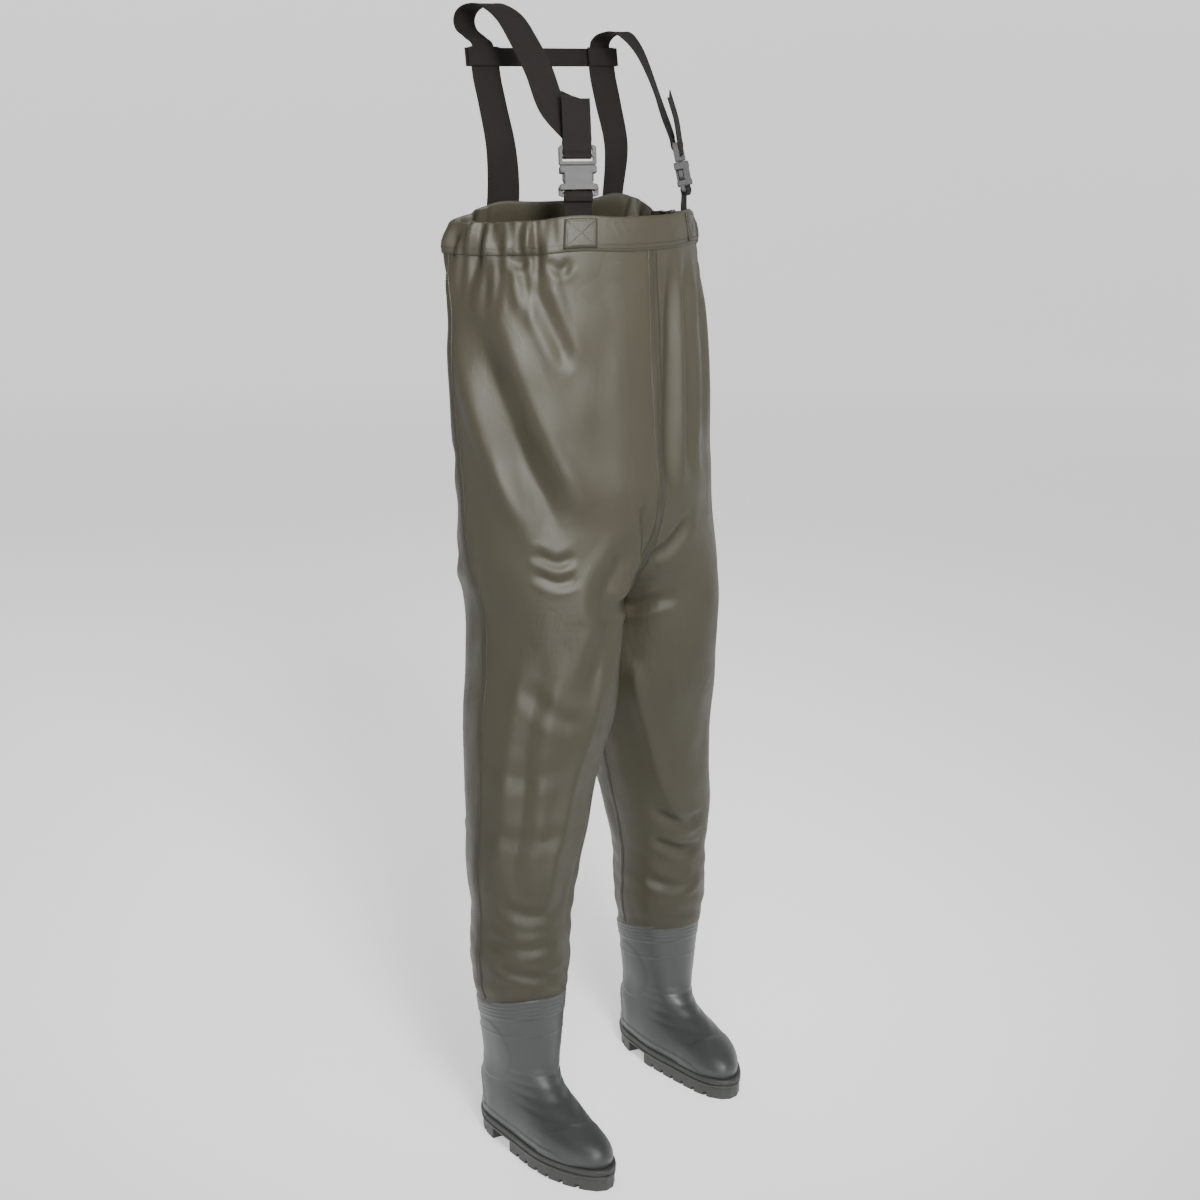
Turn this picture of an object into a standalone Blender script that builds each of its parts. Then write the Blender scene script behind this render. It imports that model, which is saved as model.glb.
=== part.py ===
"""Chest waders with moulded boots, modelled as they stand when worn.

The wearer's front faces -Y and the wearer's right is -X. All sizes are in metres.
"""

import math

import bmesh
import bpy
import numpy as np
from mathutils import Matrix, Vector

# --- gaps and sheet thicknesses -------------------------------------------------------------
GAP = 0.0003
FABRIC = 0.0012
TAPE = 0.0008
STANDOFF = 0.0012
WEBBING = 0.0015
SEAM_HALF_GAP = 0.0012
CENTRE_HALF_GAP = 0.0015

# --- garment: rows from the rim down to the crotch -------------------------------------------
# height, half width, front depth, back depth, back corner bulge, y of the widest line
TORSO = (
    (1.272, 0.190, 0.190, -0.036, 0.020, 0.048),
    (1.236, 0.200, 0.190, -0.018, 0.020, 0.044),
    (1.170, 0.208, 0.180, 0.006, 0.018, 0.030),
    (1.100, 0.215, 0.172, 0.030, 0.015, 0.018),
    (1.035, 0.215, 0.174, 0.045, 0.010, 0.015),
    (0.967, 0.212, 0.173, 0.060, 0.008, 0.010),
    (0.900, 0.212, 0.170, 0.075, 0.004, 0.002),
    (0.830, 0.211, 0.150, 0.092, 0.001, -0.004),
    (0.745, 0.198, 0.134, 0.104, 0.000, -0.022),
)
BOOT_TOP = 0.2105
# height, centre out from the middle, half width, front depth, back depth, centre y
LEG = (
    (0.660, 0.1035, 0.0985, 0.126, 0.104, -0.026),
    (0.607, 0.110, 0.102, 0.117, 0.100, -0.029),
    (0.554, 0.121, 0.096, 0.102, 0.098, -0.032),
    (0.500, 0.132, 0.090, 0.093, 0.095, -0.035),
    (0.446, 0.143, 0.084, 0.088, 0.090, -0.038),
    (0.393, 0.156, 0.078, 0.082, 0.086, -0.040),
    (0.337, 0.163, 0.069, 0.074, 0.078, -0.042),
    (0.281, 0.168, 0.062, 0.069, 0.072, -0.044),
    (BOOT_TOP + 0.0235, 0.1705, 0.0560, 0.0605, 0.0645, -0.0460),
    (BOOT_TOP + 0.0015, 0.172, 0.0520, 0.0585, 0.0600, -0.0465),
    (BOOT_TOP - 0.0225, 0.172, 0.0510, 0.0585, 0.0585, -0.0465),
)
RIM_Z = TORSO[0][0]
CROTCH_Z = TORSO[-1][0]
CUFF_Z = LEG[-1][0]
CROTCH_RISE = 0.13
RIM_FRONT = 0.010
RIM_FRONT_STRAP = 0.005
RIM_BACK = 0.024
RIM_BACK_STRAP = 0.006
RIM_SIDE = 0.002
RIM_SHAPE_FROM = 1.08
RIM_BACK_SQUARE = {-1: 3, 1: 9}
FRONT_ANCHOR_X = 0.103
BACK_ANCHOR_X = 0.1086

# --- stance ----------------------------------------------------------------------------------
STANCE_SHIFT = -0.016
STANCE_STAGGER = 0.0355
TOE_TURN = {-1: math.radians(-11.0), 1: math.radians(-16.0)}

# --- grid of the four panels -----------------------------------------------------------------
PANEL_COLUMNS = 10
TORSO_ROWS = 8
RISE_ROWS = 6
LEG_ROWS = 11

# --- hem, tapes and patches ------------------------------------------------------------------
HEM_HEIGHT = 0.042
HEM_ABOVE_EDGE = 0.0006
ELASTIC_HEIGHT = 0.025
ELASTIC_THICK = 0.0008
CENTRE_TAPE_WIDTH = 0.012
SIDE_TAPE_WIDTH = 0.010
INSEAM_TAPE_WIDTH = 0.008
PATCH_WIDTH = 0.038
PATCH_HEIGHT = 0.034

# --- webbing and straps ----------------------------------------------------------------------
FRONT_WEB_WIDTH = 0.038
BACK_WEB_WIDTH = 0.050
CROSSBAR_WIDTH = 0.025
CROSSBAR_REACH = 0.028
SEWN_LENGTH = 0.036
LAYER = WEBBING + 2 * GAP
BACK_STRAP_DRIFT = 0.010
BACK_STRAP_ROUTE = (
    (0.041, RIM_Z + 0.093),
    (0.054, RIM_Z + 0.153),
    (0.062, RIM_Z + 0.192),
    (0.067, RIM_Z + 0.230),
)
SHOULDER_ROUTE_RIGHT = (
    (0.086, RIM_Z + 0.242),
    (0.104, RIM_Z + 0.252),
    (0.109, RIM_Z + 0.265),
    (0.100, RIM_Z + 0.278),
    (0.078, RIM_Z + 0.285),
    (0.050, RIM_Z + 0.283),
    (0.018, RIM_Z + 0.266),
    (-0.009, RIM_Z + 0.235),
    (-0.036, RIM_Z + 0.198),
    (-0.062, RIM_Z + 0.152),
)
SHOULDER_ROUTE_LEFT = (
    (0.062, RIM_Z + 0.243),
    (0.044, RIM_Z + 0.249),
    (0.022, RIM_Z + 0.250),
    (0.002, RIM_Z + 0.240),
    (-0.018, RIM_Z + 0.220),
    (-0.039, RIM_Z + 0.187),
    (-0.061, RIM_Z + 0.148),
)
TAIL_LENGTH = 0.062
TAIL_CUT = 0.009

# --- side-release buckle, in its own frame: across, outward as -y, up ---------------------------
BUCKLE_TURN = math.radians(35.0)
BUCKLE_LEAN = math.radians(-12.0)
BUCKLE_LIFT = 0.024
BUCKLE_OUT = -0.002
SLOT_HALF_WIDTH = FRONT_WEB_WIDTH / 2 + 0.0012
SOCKET_HALF_WIDTH = SLOT_HALF_WIDTH + 0.0043
SOCKET_FLARE = SLOT_HALF_WIDTH + 0.0063
SOCKET_TOP = 0.0405
SOCKET_THICK = 0.0135
SOCKET_FLOOR = 0.0125
CAVITY_HALF_WIDTH = 0.0212
CAVITY_THICK = 0.0078
WINDOW_LOW = 0.0160
WINDOW_HIGH = 0.0305
WINDOW_INNER = 0.0190
FLANGE_THICK = 0.0050
SLOT_LOW = 0.0032
SLOT_HIGH = 0.0086
CLIP_BASE = SOCKET_TOP + GAP
CLIP_TOP = CLIP_BASE + 0.0265
CLIP_SLOT_HALF_WIDTH = FRONT_WEB_WIDTH / 2 + 0.0013
CLIP_HALF_WIDTH = CLIP_SLOT_HALF_WIDTH + 0.0047
CLIP_THICK = 0.0070
CLIP_BAR_LOW = CLIP_BASE + 0.0108
CLIP_BAR_HIGH = CLIP_BAR_LOW + 0.0042
CLIP_RAIL = 0.0050
CLIP_BAR_THICK = 0.0036
TONGUE_HALF_WIDTH = 0.0035
TONGUE_TIP = SOCKET_FLOOR + 0.0030
TONGUE_THICK = 0.0050
PRONG_PIVOT_X = 0.0145
PRONG_PAD_LOW = WINDOW_LOW + 0.0010
PRONG_PAD_HIGH = WINDOW_HIGH - 0.0010
PRONG_PAD_OUT = CAVITY_HALF_WIDTH - 0.0006
PRONG_PAD_IN = 0.0125
PRONG_ARM_HALF = 0.0016
PRONG_THICK = 0.0060

# --- boots, in their own frame: toe along -y, ankle axis at the origin -----------------------------
BOOT_WALL = 0.0030
SOLE_TOP = 0.0300
PLATE_LOW = 0.0160
INSOLE_THICK = 0.0040
INSOLE_PLAY = 0.002
BAND_HEIGHT = 0.026
BAND_THICK = 0.0024
BAND_RIBS = 4
BAND_BELOW_TOP = 0.0005
BAND_GROOVE_SHARE = 0.5
# height, toe reach, heel reach, half width, how much wider the toe half is
BOOT_ROWS = (
    (0.0303, 0.214, 0.070, 0.0490, 0.15),
    (0.043, 0.215, 0.072, 0.0500, 0.14),
    (0.055, 0.203, 0.071, 0.0490, 0.06),
    (0.066, 0.168, 0.069, 0.0475, -0.05),
    (0.077, 0.130, 0.067, 0.0460, -0.18),
    (0.088, 0.101, 0.065, 0.0450, -0.22),
    (0.102, 0.080, 0.064, 0.0445, -0.14),
    (0.120, 0.069, 0.0635, 0.0460, -0.05),
    (0.155, 0.065, 0.0645, 0.0515, 0.00),
    (BOOT_TOP, 0.0665, 0.0675, 0.0590, 0.00),
)
BOOT_SEGMENTS = 28
TOP_SLANT = 0.18
SLANT_FROM = 0.120
SOLE_TOE = 0.222
SOLE_HEEL = 0.078
SOLE_HALF_WIDTH = 0.0535
SOLE_TOE_EXTRA = 0.16
LAST_CURVE = 0.005
LAST_CURVE_FROM = 0.050
HEEL_FRONT = -0.004
TREAD_BACK = -0.050
TREAD_TOE = 0.216
LUG_DEPTH = 0.006
LUG_GROOVE = 0.006
LUG_INSET = 0.002
TREAD_GROOVES = 6
HEEL_GROOVES = 2

SIDES = (("right", -1), ("left", 1))


# --- scene helpers ---------------------------------------------------------------------------
def clear_scene():
    for item in list(bpy.data.objects):
        bpy.data.objects.remove(item, do_unlink=True)


def finish(name, colour, roughness, metallic=0.0):
    """A plain surface finish."""
    material = bpy.data.materials.new(name)
    material.use_nodes = True
    shader = material.node_tree.nodes["Principled BSDF"]
    shader.inputs["Base Color"].default_value = (*colour, 1.0)
    shader.inputs["Roughness"].default_value = roughness
    shader.inputs["Metallic"].default_value = metallic
    return material


def add_object(name, mesh, material, parent=None):
    """An object of its own for one piece, shaded smooth between sharp edges."""
    item = bpy.data.objects.new(name, mesh)
    bpy.context.collection.objects.link(item)
    mesh.materials.append(material)
    mesh.shade_smooth()
    mesh.set_sharp_from_angle(angle=math.radians(35))
    item.parent = parent
    return item


def piece_or_cutter(name, mesh, material, parent):
    """A piece if it has a material; without one, a cutter that only shapes other pieces."""
    if material is not None:
        return add_object(name, mesh, material, parent)
    cutter = bpy.data.objects.new(name, mesh)
    bpy.context.collection.objects.link(cutter)
    cutter.parent = parent
    cutter.hide_render = True
    cutter.display_type = "WIRE"
    return cutter


def mesh_from(name, vertices, faces):
    """A closed mesh with its faces turned outwards."""
    mesh = bpy.data.meshes.new(name)
    mesh.from_pydata([tuple(v) for v in vertices], [], faces)
    shape = bmesh.new()
    shape.from_mesh(mesh)
    bmesh.ops.recalc_face_normals(shape, faces=shape.faces)
    shape.to_mesh(mesh)
    shape.free()
    mesh.update()
    return mesh


def curve_value(rows, height, column):
    """A smooth value between the rows of a table, which run from high to low."""
    heights = [row[0] for row in rows]
    values = [row[column] for row in rows]
    if height >= heights[0]:
        return values[0]
    if height <= heights[-1]:
        return values[-1]
    i = next(k for k in range(len(rows) - 1) if height >= heights[k + 1])
    span = heights[i + 1] - heights[i]
    t = (height - heights[i]) / span

    def slope(k):
        low, high = max(k - 1, 0), min(k + 1, len(rows) - 1)
        return (values[high] - values[low]) / (heights[high] - heights[low]) * span

    a, b = values[i], values[i + 1]
    return (
        a * (2 * t**3 - 3 * t**2 + 1)
        + slope(i) * (t**3 - 2 * t**2 + t)
        + b * (3 * t**2 - 2 * t**3)
        + slope(i + 1) * (t**3 - t**2)
    )


# --- the garment's surface -------------------------------------------------------------------
LEG_ROWS_FROM_CROTCH = (
    (
        CROTCH_Z,
        TORSO[-1][1] / 2,
        TORSO[-1][1] / 2 - CENTRE_HALF_GAP,
        TORSO[-1][2],
        TORSO[-1][3],
        TORSO[-1][5],
    ),
) + LEG


def down_leg(z):
    """How far down the leg a height is: 0 at the crotch, 1 at the cuff."""
    return min(max((CROTCH_Z - z) / (CROTCH_Z - CUFF_Z), 0.0), 1.0)


def rim_lift(side, back, across):
    """How far the rim rises above its lowest line, for a place across the body."""
    power = RIM_BACK_SQUARE[side] if back else 3
    if back:
        middle, strap, anchor = RIM_BACK, RIM_BACK_STRAP, BACK_ANCHOR_X
    else:
        middle, strap, anchor = RIM_FRONT, RIM_FRONT_STRAP, FRONT_ANCHOR_X
    out = min(abs(across) / TORSO[0][1], 1.0)
    peak = math.exp(-(((abs(across) - anchor) / 0.035) ** 2))
    return RIM_SIDE + (middle - RIM_SIDE) * (1 - out**power) + strap * peak


def surface(side, back, share, z):
    """A point of the garment: share runs from 0 at the side seam to 1 at the centre or inseam."""
    if z >= CROTCH_Z:
        a, front, rear, bulge, cy = (curve_value(TORSO, z, c) for c in range(1, 6))
        t = min((z - CROTCH_Z) / CROTCH_RISE, 1.0)
        end = math.acos(-(1 - t))
        rx = (a - CENTRE_HALF_GAP) / (1 - math.cos(end))
        cx = a - rx
        phi = share * end
        turn = 0.0
        shift_x = shift_y = 0.0
    else:
        cx, rx, front, rear, cy = (curve_value(LEG_ROWS_FROM_CROTCH, z, c) for c in range(1, 6))
        bulge = 0.0
        phi = share * math.pi
        low = down_leg(z)
        turn = TOE_TURN[side] * low**1.5
        shift_x = STANCE_SHIFT * low
        shift_y = side * STANCE_STAGGER * low
    x = side * rx * math.cos(phi)
    if back:
        y = rear * math.sin(phi) + bulge * math.sin(2 * phi)
    else:
        y = -front * math.sin(phi)
    px = side * cx + x * math.cos(turn) - y * math.sin(turn) + shift_x
    py = cy + x * math.sin(turn) + y * math.cos(turn) + shift_y
    rise = min(max((z - RIM_SHAPE_FROM) / (RIM_Z - RIM_SHAPE_FROM), 0.0), 1.0)
    pz = z + rim_lift(side, back, px) * rise**2
    return Vector((px, py, pz))


def surface_normal(side, back, share, z):
    """The outward direction of the garment's surface."""
    step = 0.002
    s0, s1 = max(share - step, 0.0), min(share + step, 1.0)
    z0, z1 = max(z - step, CUFF_Z), min(z + step, RIM_Z)
    along = surface(side, back, s1, z) - surface(side, back, s0, z)
    up = surface(side, back, share, z1) - surface(side, back, share, z0)
    normal = along.cross(up).normalized()
    outward = -1.0 if back else 1.0
    return normal * (side * -outward)


def share_at(side, back, across, z):
    """The share along a half ring whose point lies at a given place across the body."""
    low, high = 0.0, 1.0
    for _ in range(30):
        middle = (low + high) / 2
        if abs(surface(side, back, middle, z).x) > abs(across):
            low = middle
        else:
            high = middle
    return (low + high) / 2


def ring_width(side, back, z):
    """The length of a half ring from its side seam to its centre seam or inseam."""
    points = [surface(side, back, k / 12, z) for k in range(13)]
    return sum((b - a).length for a, b in zip(points, points[1:]))


def panel_heights():
    """Heights of a panel's rows, from the cuff to the rim, closest together at the crotch."""
    legs = [CUFF_Z + (CROTCH_Z - CUFF_Z) * k / LEG_ROWS for k in range(LEG_ROWS)]
    rise = [CROTCH_Z + CROTCH_RISE * (k / RISE_ROWS) ** 2 for k in range(RISE_ROWS)]
    top = CROTCH_Z + CROTCH_RISE
    torso = [top + (RIM_Z - top) * k / TORSO_ROWS for k in range(TORSO_ROWS + 1)]
    return legs + rise + torso


def panel_shares(side, back, z):
    """Shares of a panel's columns, leaving half a seam gap at each end."""
    edge = SEAM_HALF_GAP / ring_width(side, back, z)
    return [edge + (1 - 2 * edge) * k / PANEL_COLUMNS for k in range(PANEL_COLUMNS + 1)]


def fabric_panel(name, side, back, material):
    """One of the four cut pieces: chest to cuff, from the side seam to the centre and inseam."""
    vertices, faces = [], []
    heights = panel_heights()
    for z in heights:
        vertices += [surface(side, back, s, z) for s in panel_shares(side, back, z)]
    wide = PANEL_COLUMNS + 1
    outward = (side > 0) != back
    for r in range(len(heights) - 1):
        for c in range(PANEL_COLUMNS):
            a, b = r * wide + c, r * wide + c + 1
            quad = (a, b, b + wide, a + wide)
            faces.append(quad[::-1] if outward else quad)
    mesh = bpy.data.meshes.new(name)
    mesh.from_pydata([tuple(v) for v in vertices], [], faces)
    mesh.update()
    item = add_object(name, mesh, material)
    wall = item.modifiers.new("wall", "SOLIDIFY")
    wall.thickness = FABRIC
    wall.offset = -1.0
    wall.use_even_offset = True
    wall.use_rim = True
    return item


def solid_from_grid(name, rows, material, closed=False, parent=None):
    """A closed solid from rows of (inner, outer) point pairs."""
    count = len(rows[0])
    vertices = [p for row in rows for pair in row for p in pair]

    def at(r, c, layer):
        return (r * count + c % count) * 2 + layer

    faces = []
    spans = count if closed else count - 1
    for r in range(len(rows) - 1):
        for c in range(spans):
            for layer in (0, 1):
                low = (at(r, c, layer), at(r, c + 1, layer))
                faces.append(low + (at(r + 1, c + 1, layer), at(r + 1, c, layer)))
    for r in (0, len(rows) - 1):
        for c in range(spans):
            faces.append((at(r, c, 0), at(r, c + 1, 0), at(r, c + 1, 1), at(r, c, 1)))
    if not closed:
        for c in (0, count - 1):
            for r in range(len(rows) - 1):
                faces.append((at(r, c, 0), at(r + 1, c, 0), at(r + 1, c, 1), at(r, c, 1)))
    return add_object(name, mesh_from(name, vertices, faces), material, parent)


def layer_pair(side, back, share, z, inner, thick):
    """The two faces of a layer that lies at a distance outside the garment's surface."""
    base = surface(side, back, share, z)
    out = surface_normal(side, back, share, z)
    return base + out * inner, base + out * (inner + thick)


def around_rim(columns):
    """Places round the rim as (side, back, share), starting at the front centre going left."""
    steps = [k / columns for k in range(columns + 1)]
    left_front = [(1, False, 1 - s) for s in steps[:-1]]
    left_back = [(1, True, s) for s in steps[:-1]]
    right_back = [(-1, True, 1 - s) for s in steps[:-1]]
    right_front = [(-1, False, s) for s in steps[:-1]]
    return left_front + left_back + right_back + right_front


def hem_casing(material):
    """The doubled hem that runs all round the rim."""
    inner = ELASTIC_THICK + 2 * STANDOFF
    rows = []
    for k in range(3):
        z = RIM_Z - HEM_HEIGHT + (HEM_HEIGHT - HEM_ABOVE_EDGE) * k / 2
        rows.append([layer_pair(*place, z, inner, FABRIC) for place in around_rim(PANEL_COLUMNS)])
    return solid_from_grid("hem_casing", rows, material, closed=True)


def hem_elastic(name, side, material):
    """The elastic that runs inside the hem from the front strap round to the back strap."""
    low = RIM_Z - (HEM_HEIGHT + ELASTIC_HEIGHT) / 2
    front = share_at(side, False, FRONT_ANCHOR_X + PATCH_WIDTH / 2, low)
    rear = share_at(side, True, BACK_ANCHOR_X + PATCH_WIDTH / 2, low)
    front_columns = int(front * PANEL_COLUMNS)
    rear_columns = int(rear * PANEL_COLUMNS)
    places = [(side, False, k / PANEL_COLUMNS) for k in range(front_columns, 0, -1)]
    places += [(side, True, k / PANEL_COLUMNS) for k in range(rear_columns + 1)]
    rows = [
        [layer_pair(*place, low + lift, STANDOFF, ELASTIC_THICK) for place in places]
        for lift in (0.0, ELASTIC_HEIGHT)
    ]
    return solid_from_grid(name, rows, material)


def seam_tape(name, places, width, heights, material):
    """A narrow tape that covers a seam: places are the two half rings that meet there."""
    (side_a, back_a, share_a), (side_b, back_b, share_b) = places
    rows = []
    for z in heights:
        row = []
        for side, back, share, reach in (
            (side_a, back_a, share_a, -1),
            (side_b, back_b, share_b, 1),
        ):
            edge = width / 2 / ring_width(side, back, z)
            far = share - edge if share > 0.5 else share + edge
            near = share - edge * 0.1 if share > 0.5 else share + edge * 0.1
            pairs = [layer_pair(side, back, s, z, STANDOFF, TAPE) for s in (far, near)]
            row += pairs if reach < 0 else pairs[::-1]
        rows.append(row)
    return solid_from_grid(name, rows, material)


def seam_tapes(material):
    """Tapes down the front, the back, both sides and both inseams, on the panels' own rows."""
    top = RIM_Z - HEM_HEIGHT - 0.003
    low = CUFF_Z + BAND_HEIGHT + 0.006
    heights = [z for z in panel_heights() if low < z < top] + [top]
    centre = [z for z in heights if z > CROTCH_Z + 0.002]
    inner = [z for z in heights if z < LEG[0][0]]
    for name, back in (("seam_front", False), ("seam_back", True)):
        places = ((-1, back, 1.0), (1, back, 1.0))
        seam_tape(name, places, CENTRE_TAPE_WIDTH, centre, material)
    for label, side in SIDES:
        places = ((side, False, 0.0), (side, True, 0.0))
        seam_tape(f"seam_side_{label}", places, SIDE_TAPE_WIDTH, heights, material)
        places = ((side, False, 1.0), (side, True, 1.0))
        seam_tape(f"seam_inner_{label}", places, INSEAM_TAPE_WIDTH, inner, material)


def strap_patch(name, side, back, across, material):
    """A square of fabric sewn over the hem where a strap is anchored."""
    inner = ELASTIC_THICK + 2 * STANDOFF + FABRIC + STANDOFF
    middle = RIM_Z - HEM_HEIGHT / 2
    rows = []
    for k in range(3):
        z = middle - PATCH_HEIGHT / 2 + PATCH_HEIGHT * k / 2
        row = []
        for c in range(5):
            place = across - PATCH_WIDTH / 2 + PATCH_WIDTH * c / 4
            share = share_at(side, back, place, z)
            row.append(layer_pair(side, back, share, z, inner, TAPE))
        rows.append(row)
    return solid_from_grid(name, rows, material)


# --- webbing ---------------------------------------------------------------------------------
def ribbon(name, points, across, width, material, cut=0.0, thick=WEBBING):
    """Flat webbing along points, with a direction across it at each point."""
    count = len(points)
    rows = []
    for i, point in enumerate(points):
        ahead, behind = points[min(i + 1, count - 1)], points[max(i - 1, 0)]
        along = (ahead - behind).normalized()
        sideways = (across[i] - along * across[i].dot(along)).normalized()
        out = along.cross(sideways)
        slant = along * (cut if i == count - 1 else 0.0)
        row = []
        for reach in (-1, 1):
            edge = point + sideways * (reach * width / 2) + slant * reach
            row.append((edge - out * (thick / 2), edge + out * (thick / 2)))
        rows.append(row)
    return solid_from_grid(name, rows, material)


def smooth_route(points, per_span):
    """Points along a smooth curve through the given points."""
    route = [Vector(p) for p in points]
    result = []
    for i in range(len(route) - 1):
        a, b = route[max(i - 1, 0)], route[i]
        c, d = route[i + 1], route[min(i + 2, len(route) - 1)]
        for k in range(per_span):
            t = k / per_span
            square = (2 * a - 5 * b + 4 * c - d) * t**2
            cube = (3 * b - a - 3 * c + d) * t**3
            result.append(0.5 * (2 * b + (c - a) * t + square + cube))
    return result + [route[-1]]


def across_surface(side, back, share, z):
    """The direction across the body along the garment's surface, pointing to +X."""
    step = 0.02
    ahead = surface(side, back, max(share - step, 0.0), z)
    behind = surface(side, back, min(share + step, 1.0), z)
    return (ahead - behind).normalized() * side


def back_strap(name, side, material):
    """Wide elastic webbing, sewn outside the back panel and rising to the crossbar."""
    z_low = RIM_Z - HEM_HEIGHT / 2 - SEWN_LENGTH / 2
    outside = ELASTIC_THICK + FABRIC + TAPE + 6 * STANDOFF
    anchor = BACK_ANCHOR_X + side * BACK_STRAP_DRIFT
    low, across = [], []
    for z in (z_low, RIM_Z - HEM_ABOVE_EDGE):
        share = share_at(side, True, anchor, z)
        low.append(layer_pair(side, True, share, z, outside, 0.0)[0])
        across.append(across_surface(side, True, share, z))
    high = []
    for k, (y, z) in enumerate(BACK_STRAP_ROUTE):
        x = side * BACK_ANCHOR_X + BACK_STRAP_DRIFT * max(1 - (k + 1) / (len(BACK_STRAP_ROUTE) - 1), 0.0)
        high.append(Vector((x, y, z)))
    points = [low[0]] + smooth_route([low[1]] + high, 2)
    across += [across[-1].lerp(Vector((1, 0, 0)), 0.6)] + [Vector((1, 0, 0))] * (len(points) - 3)
    return ribbon(name, points, across, BACK_WEB_WIDTH, material)


def buckle_matrix(side):
    """Where a buckle sits: its anchor edge above the rim, turned and leant with the chest."""
    z = RIM_Z - HEM_ABOVE_EDGE
    share = share_at(side, False, FRONT_ANCHOR_X, z)
    foot = surface(side, False, share, z)
    turn = Matrix.Rotation(side * BUCKLE_TURN, 4, "Z")
    outward = turn @ Vector((0, -1, 0))
    place = foot + outward * BUCKLE_OUT + Vector((0, 0, BUCKLE_LIFT))
    return Matrix.Translation(place) @ turn @ Matrix.Rotation(BUCKLE_LEAN, 4, "X")


def shoulder_strap(name, side, route, material):
    """Webbing over the shoulder, down behind the clip, round its bar and up as a loose tail."""
    place = buckle_matrix(side)
    turn = Matrix.Rotation(side * BUCKLE_TURN, 3, "Z")
    behind = CLIP_THICK / 2 + 2 * GAP + WEBBING / 2
    at_bar = CLIP_BAR_THICK / 2 + GAP + WEBBING / 2
    loop_low = CLIP_BAR_LOW - GAP - WEBBING / 2
    profile = [
        (behind + 0.0016, CLIP_TOP + 0.016),
        (behind, CLIP_TOP + 0.004),
        (behind, CLIP_TOP - CLIP_RAIL - 0.001),
        (at_bar, CLIP_BAR_HIGH),
        (at_bar, CLIP_BAR_LOW),
        (at_bar * 0.6, loop_low - 0.0004),
        (-at_bar * 0.6, loop_low - 0.0004),
        (-at_bar, CLIP_BAR_LOW),
        (-at_bar, CLIP_BAR_HIGH),
        (-behind, CLIP_TOP - CLIP_RAIL - 0.001),
        (-behind, CLIP_TOP + 0.004),
        (-behind - 0.001, CLIP_TOP + TAIL_LENGTH * 0.5),
        (-behind + 0.002, CLIP_TOP + TAIL_LENGTH),
    ]
    low = [place @ Vector((0, y, z)) for y, z in profile]
    sewn = [Vector((side * BACK_ANCHOR_X, y, z)) for y, z in BACK_STRAP_ROUTE[-2:]]
    along = (sewn[1] - sewn[0]).normalized()
    out = Vector((1, 0, 0)).cross(along) * -LAYER
    start = [sewn[0] + out, sewn[1] + out]
    over = []
    for i, (y, z) in enumerate(route):
        t = i / (len(route) - 1)
        over.append(Vector((side * (BACK_ANCHOR_X + (FRONT_ANCHOR_X - BACK_ANCHOR_X) * t), y, z)))
    points = [start[0]] + smooth_route([start[1]] + over + [low[0]], 2) + low[1:]
    count = len(points) - len(low)
    across = []
    for i in range(len(points)):
        t = min(max((i - count * 0.30) / (count * 0.55), 0.0), 1.0)
        t = t * t * (3 - 2 * t)
        across.append((Vector((1, 0, 0)) * (1 - t) + turn @ Vector((1, 0, 0)) * t).normalized())
    return ribbon(name, points, across, FRONT_WEB_WIDTH, material, cut=TAIL_CUT * side)


def crossbar(material):
    """Webbing across the back, its ends folded round the tops of the back straps."""
    (y0, z0), (y1, z1) = BACK_STRAP_ROUTE[-2:]
    lean = math.atan2(y1 - y0, z1 - z0)
    along = Vector((0, math.sin(lean), math.cos(lean)))
    out = Vector((0, math.cos(lean), -math.sin(lean)))
    centre = Vector((0, y1, z1)) - along * (CROSSBAR_WIDTH / 2 + 0.001)
    outer = LAYER + LAYER
    inner = -LAYER
    edge = BACK_ANCHOR_X + BACK_WEB_WIDTH / 2 + 0.0022
    turn_back = edge - CROSSBAR_REACH - BACK_WEB_WIDTH / 2
    middle = (outer + inner) / 2
    half = [
        (0.0, outer),
        (edge * 0.5, outer),
        (edge - 0.002, outer),
        (edge, outer - 0.001),
        (edge + 0.0004, middle),
        (edge, inner + 0.001),
        (edge - 0.002, inner),
        (turn_back, inner),
    ]
    path = [(-x, d) for x, d in half[:0:-1]] + half
    points = [centre + Vector((x, 0, 0)) + out * d for x, d in path]
    return ribbon("crossbar", points, [along] * len(points), CROSSBAR_WIDTH, material)


def anchor_webbing(name, side, material):
    """Webbing sewn inside the bib, looped through the slot of the buckle's socket."""
    place = buckle_matrix(side)
    z_low = RIM_Z - HEM_HEIGHT / 2 - SEWN_LENGTH / 2
    inside = -(FABRIC + 2 * STANDOFF + WEBBING / 2)
    route, across = [], []
    for z in (z_low, RIM_Z - HEM_HEIGHT / 3, RIM_Z):
        share = share_at(side, False, FRONT_ANCHOR_X, z)
        route.append(layer_pair(side, False, share, z, inside, 0.0)[0])
        across.append(across_surface(side, False, share, z))
    beside = FLANGE_THICK / 2 + 2 * GAP + WEBBING / 2
    slot = (SLOT_LOW + SLOT_HIGH) / 2
    loop = [
        (beside, -0.004),
        (beside, SLOT_LOW),
        (beside * 0.55, slot + 0.0004),
        (-beside * 0.55, slot + 0.0004),
        (-beside, SLOT_LOW),
        (-beside, 0.0),
        (-beside * 0.3, -0.006),
    ]
    points = route + [place @ Vector((0, y, z)) for y, z in loop]
    turn = Matrix.Rotation(side * BUCKLE_TURN, 3, "Z")
    across += [turn @ Vector((1, 0, 0))] * len(loop)
    return ribbon(name, points, across, FRONT_WEB_WIDTH, material)


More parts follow.
